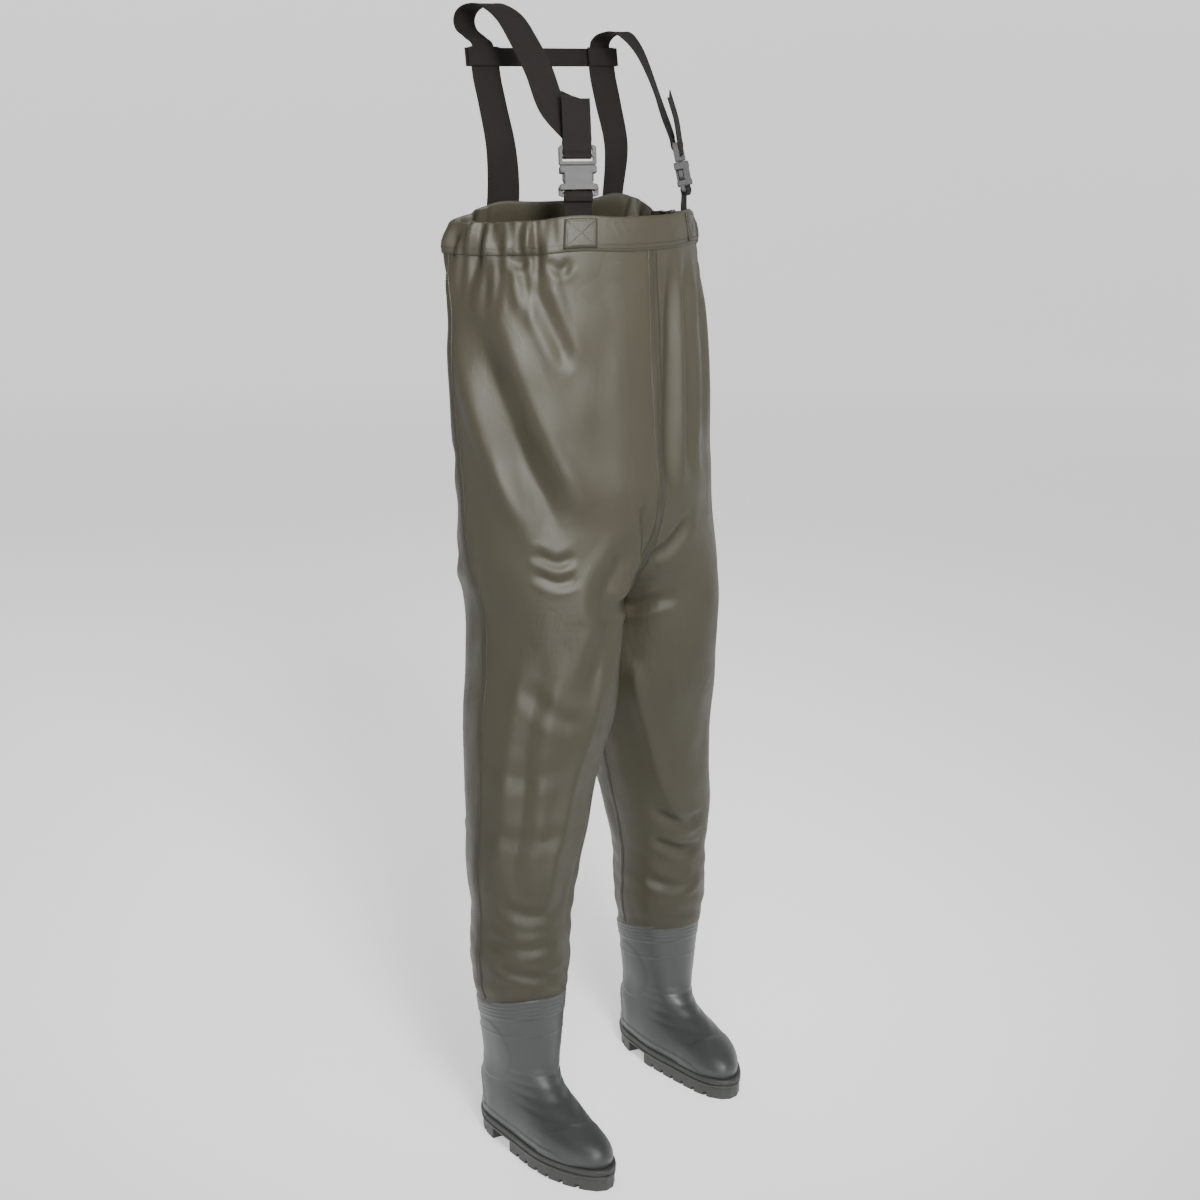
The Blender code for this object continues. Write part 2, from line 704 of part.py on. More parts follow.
# --- buckle ----------------------------------------------------------------------------------
def plate(name, outline, thick, material=None, parent=None, bevel=0.0):
    """An outline of (across, up) points, extruded evenly to both sides."""
    shape = bmesh.new()
    ring = [shape.verts.new((x, -thick / 2, z)) for x, z in outline]
    face = shape.faces.new(ring)
    grown = bmesh.ops.extrude_face_region(shape, geom=[face])
    top = [v for v in grown["geom"] if isinstance(v, bmesh.types.BMVert)]
    bmesh.ops.translate(shape, verts=top, vec=(0, thick, 0))
    bmesh.ops.recalc_face_normals(shape, faces=shape.faces)
    if bevel:
        rims = [e for e in shape.edges if abs(e.verts[0].co.y - e.verts[1].co.y) < thick / 2]
        bmesh.ops.bevel(shape, geom=rims, offset=bevel, segments=1, affect="EDGES", profile=0.5)
    mesh = bpy.data.meshes.new(name)
    shape.to_mesh(mesh)
    shape.free()
    return piece_or_cutter(name, mesh, material, parent)


def block(x0, x1, z0, z1):
    return [(x0, z0), (x1, z0), (x1, z1), (x0, z1)]


def mirrored(half):
    """A whole outline from the points of its right half, given from the bottom up."""
    return half + [(-x, z) for x, z in reversed(half)]


def cut(item, tool, operation="DIFFERENCE"):
    change = item.modifiers.new(tool.name, "BOOLEAN")
    change.operation = operation
    change.solver = "EXACT"
    change.object = tool


def buckle_socket(label, frame, material):
    """The hollow half, with side windows and a slot for the anchor webbing."""
    outline = mirrored([
        (SOCKET_HALF_WIDTH - 0.003, 0.0072),
        (SOCKET_FLARE - 0.001, 0.0084),
        (SOCKET_FLARE, 0.0105),
        (SOCKET_HALF_WIDTH, WINDOW_LOW - 0.001),
        (SOCKET_HALF_WIDTH - 0.001, WINDOW_LOW),
        (WINDOW_INNER, WINDOW_LOW + 0.0004),
        (WINDOW_INNER, WINDOW_HIGH - 0.0004),
        (SOCKET_HALF_WIDTH - 0.001, WINDOW_HIGH),
        (SOCKET_HALF_WIDTH, WINDOW_HIGH + 0.001),
        (SOCKET_HALF_WIDTH, SOCKET_TOP - 0.002),
        (SOCKET_HALF_WIDTH - 0.002, SOCKET_TOP),
    ])
    socket = plate(f"buckle_socket_{label}", outline, SOCKET_THICK, material, frame, bevel=0.0012)
    flange = plate(f"flange_{label}", mirrored([
        (SOCKET_HALF_WIDTH - 0.002, 0.0),
        (SOCKET_FLARE, 0.002),
        (SOCKET_FLARE, 0.0098),
    ]), FLANGE_THICK, None, frame, bevel=0.0006)
    cut(socket, flange, "UNION")
    cavity = block(-CAVITY_HALF_WIDTH, CAVITY_HALF_WIDTH, SOCKET_FLOOR, SOCKET_TOP + 0.01)
    cut(socket, plate(f"cavity_{label}", cavity, CAVITY_THICK, None, frame))
    slot = block(-SLOT_HALF_WIDTH, SLOT_HALF_WIDTH, SLOT_LOW, SLOT_HIGH)
    cut(socket, plate(f"anchor_slot_{label}", slot, SOCKET_THICK * 2, None, frame))
    return socket


def buckle_clip(label, frame, material):
    """The ladder-lock half: a frame with one bar, and a guide tongue."""
    outline = mirrored([
        (TONGUE_HALF_WIDTH, CLIP_BASE),
        (CLIP_HALF_WIDTH - 0.002, CLIP_BASE),
        (CLIP_HALF_WIDTH, CLIP_BASE + 0.002),
        (CLIP_HALF_WIDTH, CLIP_TOP - 0.003),
        (CLIP_HALF_WIDTH - 0.003, CLIP_TOP),
    ])
    clip = plate(f"buckle_clip_{label}", outline, CLIP_THICK, material, frame, bevel=0.001)
    slot = block(-CLIP_SLOT_HALF_WIDTH, CLIP_SLOT_HALF_WIDTH, CLIP_BASE + CLIP_RAIL, CLIP_TOP - CLIP_RAIL)
    cut(clip, plate(f"clip_slot_{label}", slot, CLIP_THICK * 2, None, frame))
    bar = block(-CLIP_SLOT_HALF_WIDTH - 0.001, CLIP_SLOT_HALF_WIDTH + 0.001, CLIP_BAR_LOW, CLIP_BAR_HIGH)
    cut(clip, plate(f"clip_bar_{label}", bar, CLIP_BAR_THICK, None, frame, bevel=0.0006), "UNION")
    tongue = mirrored([
        (TONGUE_HALF_WIDTH * 0.6, TONGUE_TIP),
        (TONGUE_HALF_WIDTH, TONGUE_TIP + 0.002),
        (TONGUE_HALF_WIDTH, CLIP_BASE + 0.002),
    ])
    cut(clip, plate(f"clip_tongue_{label}", tongue, TONGUE_THICK, None, frame), "UNION")
    return clip


def buckle_prong(label, hand, sign, frame, material):
    """A springy arm with its finger pad; its origin is on the axis it bends about."""
    top = CLIP_BASE - GAP - 0.0003
    points = [
        (PRONG_PIVOT_X - PRONG_ARM_HALF, top),
        (PRONG_PIVOT_X - PRONG_ARM_HALF, PRONG_PAD_HIGH + 0.001),
        (PRONG_PAD_IN, PRONG_PAD_HIGH - 0.003),
        (PRONG_PAD_IN, PRONG_PAD_LOW + 0.002),
        (PRONG_PAD_IN + 0.002, PRONG_PAD_LOW),
        (PRONG_PAD_OUT - 0.003, PRONG_PAD_LOW),
        (PRONG_PAD_OUT, PRONG_PAD_LOW + 0.004),
        (PRONG_PAD_OUT, PRONG_PAD_HIGH),
        (PRONG_PIVOT_X + PRONG_ARM_HALF, PRONG_PAD_HIGH + 0.001),
        (PRONG_PIVOT_X + PRONG_ARM_HALF, top),
    ]
    outline = [(sign * (x - PRONG_PIVOT_X), z - top) for x, z in points]
    prong = plate(f"buckle_prong_{hand}_{label}", outline, PRONG_THICK, material, frame, bevel=0.0007)
    prong.location = (sign * PRONG_PIVOT_X, 0.0, top)
    return prong


def buckles(material):
    for label, side in SIDES:
        frame = bpy.data.objects.new(f"buckle_place_{label}", None)
        bpy.context.collection.objects.link(frame)
        frame.matrix_world = buckle_matrix(side)
        buckle_socket(label, frame, material)
        buckle_clip(label, frame, material)
        for hand, sign in (("a", -1), ("b", 1)):
            buckle_prong(label, hand, sign, frame, material)


# --- boots -----------------------------------------------------------------------------------
def boot_ring(side, toe, heel, half_width, widen, inset=0.0):
    """An outline round the ankle axis: wider or narrower towards the toe, bowed to the outer side."""
    ring = []
    for k in range(BOOT_SEGMENTS):
        angle = 2 * math.pi * k / BOOT_SEGMENTS
        forward = math.cos(angle)
        reach = (toe if forward > 0 else heel) - inset
        blunt = abs(forward) ** 0.86 * math.copysign(1, forward)
        x = (half_width - inset) * math.sin(angle) * (1 + widen * forward)
        y = -reach * blunt
        ahead = min(max((-y - LAST_CURVE_FROM) / (SOLE_TOE - LAST_CURVE_FROM), 0.0), 1.0)
        bow = math.sin(math.pi * ahead) ** 2
        ring.append((x + side * LAST_CURVE * bow, y))
    return ring


def slanted(x, y, z):
    """A point of the shaft, raised towards the toe side near the shaft's top."""
    share = min(max((z - SLANT_FROM) / (BOOT_TOP - SLANT_FROM), 0.0), 1.0)
    return Vector((x, y, z - TOP_SLANT * share * y))


def boot_upper(label, side, frame, material):
    """The moulded foot and shaft, open at the top and floored at the sole."""
    rows = sorted(BOOT_ROWS)
    floor = rows[0][0]
    outer = [[slanted(x, y, z) for x, y in boot_ring(side, *form)] for z, *form in rows]
    inner = []
    for z, *form in rows:
        lift = BOOT_WALL if z == floor else 0.0
        inner.append([slanted(x, y, z + lift) for x, y in boot_ring(side, *form, inset=BOOT_WALL)])
    vertices = [p for ring in outer + inner for p in ring]
    middle = len(vertices)
    vertices += [Vector((0, 0, floor)), Vector((0, 0, floor + BOOT_WALL))]
    levels = len(rows)
    last = levels - 1

    def at(shell, level, k):
        return (shell * levels + level) * BOOT_SEGMENTS + k % BOOT_SEGMENTS

    faces = []
    for k in range(BOOT_SEGMENTS):
        for shell in (0, 1):
            faces.append((at(shell, 0, k), at(shell, 0, k + 1), middle + shell))
            for level in range(last):
                low = (at(shell, level, k), at(shell, level, k + 1))
                faces.append(low + (at(shell, level + 1, k + 1), at(shell, level + 1, k)))
        faces.append((at(0, last, k), at(0, last, k + 1), at(1, last, k + 1), at(1, last, k)))
    name = f"boot_upper_{label}"
    return add_object(name, mesh_from(name, vertices, faces), material, frame)


def boot_band(label, side, frame, material):
    """The ribbed collar round the top of the shaft."""
    steps = BAND_RIBS * 2
    rows = []
    for k in range(steps + 1):
        z = BOOT_TOP - BAND_BELOW_TOP - BAND_HEIGHT * (1 - k / steps)
        thick = BAND_THICK if k % 2 else BAND_THICK * BAND_GROOVE_SHARE
        form = [curve_value(BOOT_ROWS[::-1], z, c) for c in range(1, 5)]
        inner = boot_ring(side, *form, inset=-STANDOFF)
        outer = boot_ring(side, *form, inset=-STANDOFF - thick)
        rows.append([(slanted(*a, z), slanted(*b, z)) for a, b in zip(inner, outer)])
    return solid_from_grid(f"boot_band_{label}", rows, material, closed=True, parent=frame)


def slab(name, outline, z0, z1, material, parent):
    """A flat outline extruded upwards."""
    count = len(outline)
    vertices = [(x, y, z) for z in (z0, z1) for x, y in outline]
    faces = [tuple(range(count)), tuple(range(count, 2 * count))]
    faces += [(k, (k + 1) % count, (k + 1) % count + count, k + count) for k in range(count)]
    return piece_or_cutter(name, mesh_from(name, vertices, faces), material, parent)


def cross_groove(name, y, parent):
    """A cutter for one groove across the tread, open at both edges."""
    half = SOLE_HALF_WIDTH * 1.5
    outline = block(-half, half, y - LUG_GROOVE / 2, y + LUG_GROOVE / 2)
    return slab(name, outline, -LUG_DEPTH, LUG_DEPTH, None, parent)


def clipped_outline(side, inset, front, back):
    """The sole's outline between two lines across it."""
    ring = boot_ring(side, SOLE_TOE, SOLE_HEEL, SOLE_HALF_WIDTH, SOLE_TOE_EXTRA, inset)
    kept = []
    for k, (x, y) in enumerate(ring):
        nx, ny = ring[(k + 1) % len(ring)]
        if front <= y <= back:
            kept.append((x, y))
        for line in sorted((front, back), key=lambda value: abs(value - y)):
            if (y - line) * (ny - line) < 0:
                share = (line - y) / (ny - y)
                kept.append((x + (nx - x) * share, line))
    return kept


def boot_sole(label, side, frame, material):
    """The outsole plate, the heel block and the cleated forefoot under it."""
    top = PLATE_LOW - GAP
    whole = clipped_outline(side, 0.0, -SOLE_TOE, SOLE_HEEL)
    slab(f"boot_sole_{label}", whole, PLATE_LOW, SOLE_TOP, material, frame)
    rear = clipped_outline(side, LUG_INSET, HEEL_FRONT, SOLE_HEEL)
    heel = slab(f"boot_heel_{label}", rear, 0.0, top, material, frame)
    fore = clipped_outline(side, LUG_INSET, -SOLE_TOE, TREAD_BACK)
    tread = slab(f"boot_tread_{label}", fore, 0.0, top, material, frame)
    for k in range(HEEL_GROOVES):
        y = HEEL_FRONT + (SOLE_HEEL - HEEL_FRONT) * (k + 1) / (HEEL_GROOVES + 1)
        cut(heel, cross_groove(f"heel_groove_{k}_{label}", y, frame))
    for k in range(TREAD_GROOVES):
        y = TREAD_BACK - (TREAD_TOE + TREAD_BACK) * (k + 1) / (TREAD_GROOVES + 1)
        cut(tread, cross_groove(f"tread_groove_{k}_{label}", y, frame))


def boot_insole(label, side, frame, material):
    """A loose footbed lying on the boot's floor."""
    row = min(BOOT_ROWS)
    z0 = row[0] + BOOT_WALL + GAP
    outline = boot_ring(side, *row[1:], inset=BOOT_WALL + INSOLE_PLAY)
    slab(f"boot_insole_{label}", outline, z0, z0 + INSOLE_THICK, material, frame)


def boots(rubber, sole, lining):
    for label, side in SIDES:
        frame = bpy.data.objects.new(f"boot_place_{label}", None)
        bpy.context.collection.objects.link(frame)
        place = Vector((side * LEG[-1][1] + STANCE_SHIFT, LEG[-1][5] + side * STANCE_STAGGER, 0.0))
        frame.matrix_world = Matrix.Translation(place) @ Matrix.Rotation(TOE_TURN[side], 4, "Z")
        boot_upper(label, side, frame, rubber)
        boot_band(label, side, frame, rubber)
        boot_sole(label, side, frame, sole)
        boot_insole(label, side, frame, lining)


# --- assembly --------------------------------------------------------------------------------
def garment(fabric, tape, web):
    for label, side in SIDES:
        fabric_panel(f"panel_front_{label}", side, False, fabric)
        fabric_panel(f"panel_back_{label}", side, True, fabric)
        hem_elastic(f"hem_elastic_{label}", side, web)
        strap_patch(f"patch_front_{label}", side, False, FRONT_ANCHOR_X, fabric)
        strap_patch(f"patch_back_{label}", side, True, BACK_ANCHOR_X + side * BACK_STRAP_DRIFT, fabric)
    hem_casing(fabric)
    seam_tapes(tape)


def straps(web):
    routes = {"right": SHOULDER_ROUTE_RIGHT, "left": SHOULDER_ROUTE_LEFT}
    for label, side in SIDES:
        back_strap(f"back_strap_{label}", side, web)
        shoulder_strap(f"shoulder_strap_{label}", side, routes[label], web)
        anchor_webbing(f"anchor_webbing_{label}", side, web)
    crossbar(web)


def stand_on_origin():
    """Moves the whole assembly so that its box is centred over the origin."""
    bpy.context.view_layer.update()
    graph = bpy.context.evaluated_depsgraph_get()
    low, high = np.full(3, np.inf), np.full(3, -np.inf)
    for item in bpy.data.objects:
        if item.type != "MESH" or item.hide_render:
            continue
        mesh = item.evaluated_get(graph).data
        points = np.array([item.matrix_world @ vertex.co for vertex in mesh.vertices])
        low, high = np.minimum(low, points.min(0)), np.maximum(high, points.max(0))
    shift = (low + high) / 2
    for item in bpy.data.objects:
        if item.parent is None:
            item.location.x -= shift[0]
            item.location.y -= shift[1]


def main():
    clear_scene()
    fabric = finish("coated_fabric", (0.165, 0.150, 0.102), 0.45)
    tape = finish("seam_tape", (0.145, 0.130, 0.088), 0.5)
    web = finish("webbing", (0.030, 0.026, 0.023), 0.85)
    plastic = finish("buckle_plastic", (0.24, 0.23, 0.215), 0.4)
    rubber = finish("boot_rubber", (0.075, 0.082, 0.072), 0.4)
    sole = finish("sole_rubber", (0.090, 0.090, 0.078), 0.6)
    lining = finish("footbed", (0.05, 0.05, 0.045), 0.9)
    garment(fabric, tape, web)
    straps(web)
    buckles(plastic)
    boots(rubber, sole, lining)
    stand_on_origin()


main()
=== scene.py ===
"""Chest waders dressed over their fixed frame: coated cloth, webbing, buckles and moulded boots.

The tailor's numbers below are in metres, with the wearer facing -Y and the wearer's right at -X.
"""

import logging
import math
from dataclasses import dataclass, field
from enum import Enum
from typing import Sequence

import bmesh
import bpy
import numpy as np
from mathutils import Matrix, Vector, noise


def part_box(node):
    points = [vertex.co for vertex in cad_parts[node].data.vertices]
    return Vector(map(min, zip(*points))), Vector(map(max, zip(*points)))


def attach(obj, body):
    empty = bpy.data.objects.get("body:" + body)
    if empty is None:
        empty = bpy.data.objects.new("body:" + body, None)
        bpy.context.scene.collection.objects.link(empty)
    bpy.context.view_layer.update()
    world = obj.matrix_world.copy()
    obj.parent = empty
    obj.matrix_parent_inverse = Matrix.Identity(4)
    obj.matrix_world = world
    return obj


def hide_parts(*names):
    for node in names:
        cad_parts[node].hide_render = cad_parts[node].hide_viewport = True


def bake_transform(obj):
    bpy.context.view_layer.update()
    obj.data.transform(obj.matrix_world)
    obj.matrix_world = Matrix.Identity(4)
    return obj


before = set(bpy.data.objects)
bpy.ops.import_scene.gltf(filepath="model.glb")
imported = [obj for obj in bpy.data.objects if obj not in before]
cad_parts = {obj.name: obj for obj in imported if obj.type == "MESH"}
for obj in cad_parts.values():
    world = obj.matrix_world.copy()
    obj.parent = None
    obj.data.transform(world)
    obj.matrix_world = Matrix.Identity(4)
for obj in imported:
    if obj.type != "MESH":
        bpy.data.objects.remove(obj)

log = logging.getLogger("waders")
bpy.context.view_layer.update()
Array = np.ndarray
GARMENT = "garment"


class Side(Enum):
    """The wearer's right and left, with the sign of X on that side."""

    RIGHT = -1
    LEFT = 1

    @property
    def label(self) -> str:
        """The word that ends a piece's name."""
        return self.name.lower()


# --- small tools ------------------------------------------------------------------------------


def smooth(low: float, high: float, value: Array) -> Array:
    """A soft step.

    Args:
        low: where the step starts.
        high: where it ends.
        value: what is compared with them.

    Returns:
        0 before low, 1 after high.
    """
    share = np.clip((np.asarray(value, float) - low) / (high - low), 0.0, 1.0)
    return share * share * (3 - 2 * share)


def read_rows(rows: Sequence[Sequence[float]], z: Array, column: int) -> Array:
    """Reads a smooth value between the rows of a table.

    Args:
        rows: a table whose first column is the height.
        z: heights to read at.
        column: which column to read.

    Returns:
        One value for each height.
    """
    table = np.array(sorted(rows), float)
    heights, values = table[:, 0], table[:, column]
    last = len(heights) - 1
    low, high = np.maximum(np.arange(last + 1) - 1, 0), np.minimum(np.arange(last + 1) + 1, last)
    slope = (values[high] - values[low]) / (heights[high] - heights[low])
    z = np.asarray(z, float)
    i = np.clip(np.searchsorted(heights, z, side="right") - 1, 0, last - 1)
    span = heights[i + 1] - heights[i]
    t = np.clip((z - heights[i]) / span, 0.0, 1.0)
    start = values[i] * (2 * t**3 - 3 * t**2 + 1) + slope[i] * span * (t**3 - 2 * t**2 + t)
    return start + values[i + 1] * (3 * t**2 - 2 * t**3) + slope[i + 1] * span * (t**3 - t**2)


def unit(vectors: Array) -> Array:
    """Vectors of length one, along the last axis."""
    return vectors / np.maximum(np.linalg.norm(vectors, axis=-1, keepdims=True), 1e-12)


def wander(points: Array, size: Sequence[float], seed: float) -> Array:
    """Soft random values over space, the same in every run.

    Args:
        points: an array of points, three numbers each.
        size: how far apart the ups and downs are along X, Y and Z.
        seed: moves the pattern.

    Returns:
        About -1 to 1 for each point.
    """
    flat = points.reshape(-1, 3) / np.array(size) + seed
    found = np.array([noise.noise(Vector(p)) for p in flat])
    return found.reshape(points.shape[:-1])


def catmull(points: Sequence[Sequence[float]], per_span: int) -> Array:
    """Points along a smooth curve through the given points."""
    route = np.array(points, float)
    last = len(route) - 1
    found = []
    for i in range(last):
        a, b = route[max(i - 1, 0)], route[i]
        c, d = route[i + 1], route[min(i + 2, last)]
        for k in range(per_span):
            t = k / per_span
            square = (2 * a - 5 * b + 4 * c - d) * t**2
            cube = (3 * b - a - 3 * c + d) * t**3
            found.append(0.5 * (2 * b + (c - a) * t + square + cube))
    return np.array(found + [route[-1]])


# --- materials --------------------------------------------------------------------------------


class Wire:
    """A value in a material that can be added, subtracted and multiplied like a number."""

    def __init__(self, paint: "Paint", socket: bpy.types.NodeSocket) -> None:
        """Wraps an output socket."""
        self.paint = paint
        self.socket = socket

    def _math(self, operation: str, other: object) -> "Wire":
        """This value first, the other one second."""
        return self.paint.math(operation, self, other)

    def _reflected(self, operation: str, other: object) -> "Wire":
        """The other value first, this one second."""
        return self.paint.math(operation, other, self)

    def __add__(self, other: object) -> "Wire":
        """The sum."""
        return self._math("ADD", other)

    def __sub__(self, other: object) -> "Wire":
        """The difference."""
        return self._math("SUBTRACT", other)

    def __mul__(self, other: object) -> "Wire":
        """The product."""
        return self._math("MULTIPLY", other)

    def __radd__(self, other: object) -> "Wire":
        """The sum, with a number on the left."""
        return self._reflected("ADD", other)

    def __rsub__(self, other: object) -> "Wire":
        """The difference, with a number on the left."""
        return self._reflected("SUBTRACT", other)

    def __rmul__(self, other: object) -> "Wire":
        """The product, with a number on the left."""
        return self._reflected("MULTIPLY", other)

    def size(self) -> "Wire":
        """The value without its sign."""
        return self._math("ABSOLUTE", 0.0)


class Paint:
    """One material being mixed."""

    def __init__(self, name: str) -> None:
        """Starts a material with a Principled shader."""
        self.material = bpy.data.materials.new(name)
        self.material.use_nodes = True
        self.tree = self.material.node_tree
        self.shader = self.tree.nodes["Principled BSDF"]

    def node(self, kind: str, inputs: dict[str, object] | None = None, **settings: object) -> bpy.types.Node:
        """Adds any node.

        Args:
            kind: the node's type name.
            inputs: values or wires for its input sockets.
            **settings: its own properties.

        Returns:
            The node.
        """
        made = self.tree.nodes.new(kind)
        for name, value in settings.items():
            setattr(made, name, value)
        for name, value in (inputs or {}).items():
            self.join(value, made.inputs[name])
        return made

    def join(self, value: object, socket: bpy.types.NodeSocket) -> None:
        """Sets a socket's value, or links a wire to it."""
        if isinstance(value, Wire):
            self.tree.links.new(value.socket, socket)
        else:
            socket.default_value = value

    def math(self, operation: str, a: object, b: object) -> Wire:
        """A Math node's result."""
        made = self.tree.nodes.new("ShaderNodeMath")
        made.operation = operation
        self.join(a, made.inputs[0])
        self.join(b, made.inputs[1])
        return Wire(self, made.outputs[0])

    def place(self, scale: Sequence[float] = (1.0, 1.0, 1.0), uv: str = "") -> Wire:
        """Coordinates on the object, or on its own UV map, scaled along each axis."""
        if uv:
            source = self.node("ShaderNodeUVMap", uv_map=uv).outputs["UV"]
        else:
            source = self.node("ShaderNodeTexCoord").outputs["Object"]
        mapping = self.node("ShaderNodeMapping", {"Vector": Wire(self, source), "Scale": tuple(scale)})
        return Wire(self, mapping.outputs["Vector"])

    def noise(
        self, at: Wire, scale: float, detail: float = 3.0, rough: float = 0.55, warp: float = 0.0
    ) -> Wire:
        """Cloudy values from 0 to 1."""
        inputs = {"Vector": at, "Scale": scale, "Detail": detail, "Roughness": rough, "Distortion": warp}
        return Wire(self, self.node("ShaderNodeTexNoise", inputs).outputs[0])

    def waves(self, at: Wire, scale: float, along: str = "X", warp: float = 0.0) -> Wire:
        """Parallel ridges from 0 to 1."""
        inputs = {"Vector": at, "Scale": scale, "Distortion": warp}
        made = self.node("ShaderNodeTexWave", inputs, bands_direction=along, wave_profile="SIN")
        return Wire(self, made.outputs["Fac"])

    def between(self, value: Wire, low: float, high: float, to_low: float, to_high: float) -> Wire:
        """A value moved from one range to another and kept inside it."""
        inputs = {"Value": value, "From Min": low, "From Max": high, "To Min": to_low, "To Max": to_high}
        return Wire(self, self.node("ShaderNodeMapRange", inputs).outputs["Result"])

    def blend(self, share: Wire, first: Sequence[float], second: Sequence[float]) -> Wire:
        """A colour between two colours."""
        made = self.node("ShaderNodeMix", data_type="RGBA")
        self.join(share, made.inputs[0])
        self.join(first if isinstance(first, Wire) else (*first, 1.0), made.inputs[6])
        self.join(second if isinstance(second, Wire) else (*second, 1.0), made.inputs[7])
        return Wire(self, made.outputs[2])

    def bump(self, height: Wire, distance: float, strength: float = 1.0, over: Wire | None = None) -> Wire:
        """A normal that follows a height in metres-like units."""
        inputs: dict[str, object] = {"Height": height, "Distance": distance, "Strength": strength}
        if over is not None:
            inputs["Normal"] = over
        return Wire(self, self.node("ShaderNodeBump", inputs).outputs["Normal"])

    def finish(self, **values: object) -> bpy.types.Material:
        """Sets the shader's sockets by name, with underscores for spaces, and returns the material."""
        for name, value in values.items():
            self.join(value, self.shader.inputs[name.replace("_", " ")])
        return self.material


Colour = tuple[float, float, float]


@dataclass(frozen=True)
class CoatedCloth:
    """Rubber-coated nylon: a satin skin over a fine weave, crinkled in places."""

    name: str = "coated_nylon"
    light: Colour = (0.036, 0.032, 0.0185)
    dark: Colour = (0.026, 0.023, 0.0130)
    roughness: float = 0.47
    crinkle: float = 0.0005

    def build(self) -> bpy.types.Material:
        """Mixes the finish."""
        paint = Paint(self.name)
        at = paint.place()
        clouds = paint.noise(at, 7.0, 5.0, 0.6)
        creases = (paint.noise(paint.place((1.0, 1.0, 0.55)), 22.0, 4.0, 0.5, 0.6) - 0.5).size()
        folds = paint.between(creases, 0.0, 0.09, 0.0, 1.0)
        weave = paint.waves(paint.place((1.0, 1.0, 0.0)), 900.0) * paint.waves(at, 900.0, "Z")
        speckle = paint.noise(at, 420.0, 2.0)
        coarse = paint.bump(folds, self.crinkle, 0.35)
        grain = paint.bump(speckle * 0.7 + weave * 0.5, 0.00018, 0.5, coarse)
        rubbed = paint.between(paint.noise(at, 16.0, 6.0, 0.65), 0.35, 0.7, 0.0, 1.0)
        colour = paint.blend(clouds, self.dark, self.light)
        return paint.finish(
            Base_Color=colour,
            Roughness=paint.between(rubbed, 0.0, 1.0, self.roughness - 0.05, self.roughness + 0.10),
            Normal=grain,
            Specular_IOR_Level=0.40,
        )


@dataclass(frozen=True)
class Webbing:
    """Woven strap: ribs across it, fine yarns along it and a denser edge on both sides."""

    name: str
    light: Colour = (0.0150, 0.0120, 0.0105)
    dark: Colour = (0.0045, 0.0038, 0.0033)
    ribs: float = 330.0
    roughness: float = 0.82

    def build(self) -> bpy.types.Material:
        """Mixes the finish on the strap's own UV map, in metres across and along."""
        paint = Paint(self.name)
        at = paint.place(uv="weave")
        along = paint.waves(at, self.ribs, "Y", 0.4)
        across = paint.waves(at, self.ribs * 1.6, "X", 0.3)
        yarns = along * 0.6 + across * 0.4
        fuzz = paint.noise(at, 900.0, 3.0, 0.7)
        worn = paint.noise(paint.place(), 30.0, 4.0, 0.6)
        colour = paint.blend(yarns * 0.7 + worn * 0.35, self.dark, self.light)
        return paint.finish(
            Base_Color=colour,
            Roughness=paint.between(fuzz, 0.2, 0.8, self.roughness - 0.08, self.roughness + 0.08),
            Normal=paint.bump(yarns + fuzz * 0.3, 0.0006, 0.8),
            Specular_IOR_Level=0.2,
        )


@dataclass(frozen=True)
class Rubber:
    """Moulded boot rubber with a dull bloom, fine pitting and scuffs."""

    name: str
    light: Colour
    dark: Colour
    roughness: float
    pitting: float = 0.00025

    def build(self) -> bpy.types.Material:
        """Mixes the finish."""
        paint = Paint(self.name)
        at = paint.place()
        bloom = paint.noise(at, 11.0, 6.0, 0.62)
        scuffs = paint.noise(paint.place((1.0, 1.0, 0.25)), 70.0, 5.0, 0.7, 1.2)
        marks = paint.between(scuffs, 0.56, 0.72, 0.0, 1.0)
        pits = paint.noise(at, 750.0, 2.0)
        colour = paint.blend(bloom, self.dark, self.light)
        return paint.finish(
            Base_Color=colour,
            Roughness=paint.between(
                bloom + marks * 0.35, 0.3, 1.1, self.roughness - 0.06, self.roughness + 0.16
            ),
            Normal=paint.bump(pits + marks * 0.4, self.pitting, 0.45),
            Specular_IOR_Level=0.5,
        )


@dataclass(frozen=True)
class Moulding:
    """Buckle plastic with a spark-eroded texture and paler rubbed areas."""

    name: str = "buckle_acetal"
    light: Colour = (0.058, 0.057, 0.056)
    dark: Colour = (0.038, 0.037, 0.037)
    roughness: float = 0.60

    def build(self) -> bpy.types.Material:
        """Mixes the finish."""
        paint = Paint(self.name)
        at = paint.place()
        grain = paint.noise(at, 1800.0, 2.0, 0.6)
        rubbed = paint.noise(at, 120.0, 5.0, 0.65)
        return paint.finish(
            Base_Color=paint.blend(rubbed, self.dark, self.light),
            Roughness=paint.between(rubbed, 0.3, 0.7, self.roughness - 0.05, self.roughness + 0.08),
            Normal=paint.bump(grain, 0.00012, 0.5),
            Specular_IOR_Level=0.35,
        )


@dataclass(frozen=True)
class Felt:
    """The footbed's fibre felt."""

    name: str = "footbed_felt"
    light: Colour = (0.075, 0.073, 0.066)
    dark: Colour = (0.035, 0.034, 0.031)

    def build(self) -> bpy.types.Material:
        """Mixes the finish."""
        paint = Paint(self.name)
        at = paint.place()
        fibres = paint.noise(at, 380.0, 6.0, 0.75, 1.5)
        return paint.finish(
            Base_Color=paint.blend(fibres, self.dark, self.light),
            Roughness=paint.between(fibres, 0.0, 1.0, 0.85, 0.98),
            Normal=paint.bump(fibres, 0.0008, 0.7),
            Sheen_Weight=0.2,
        )


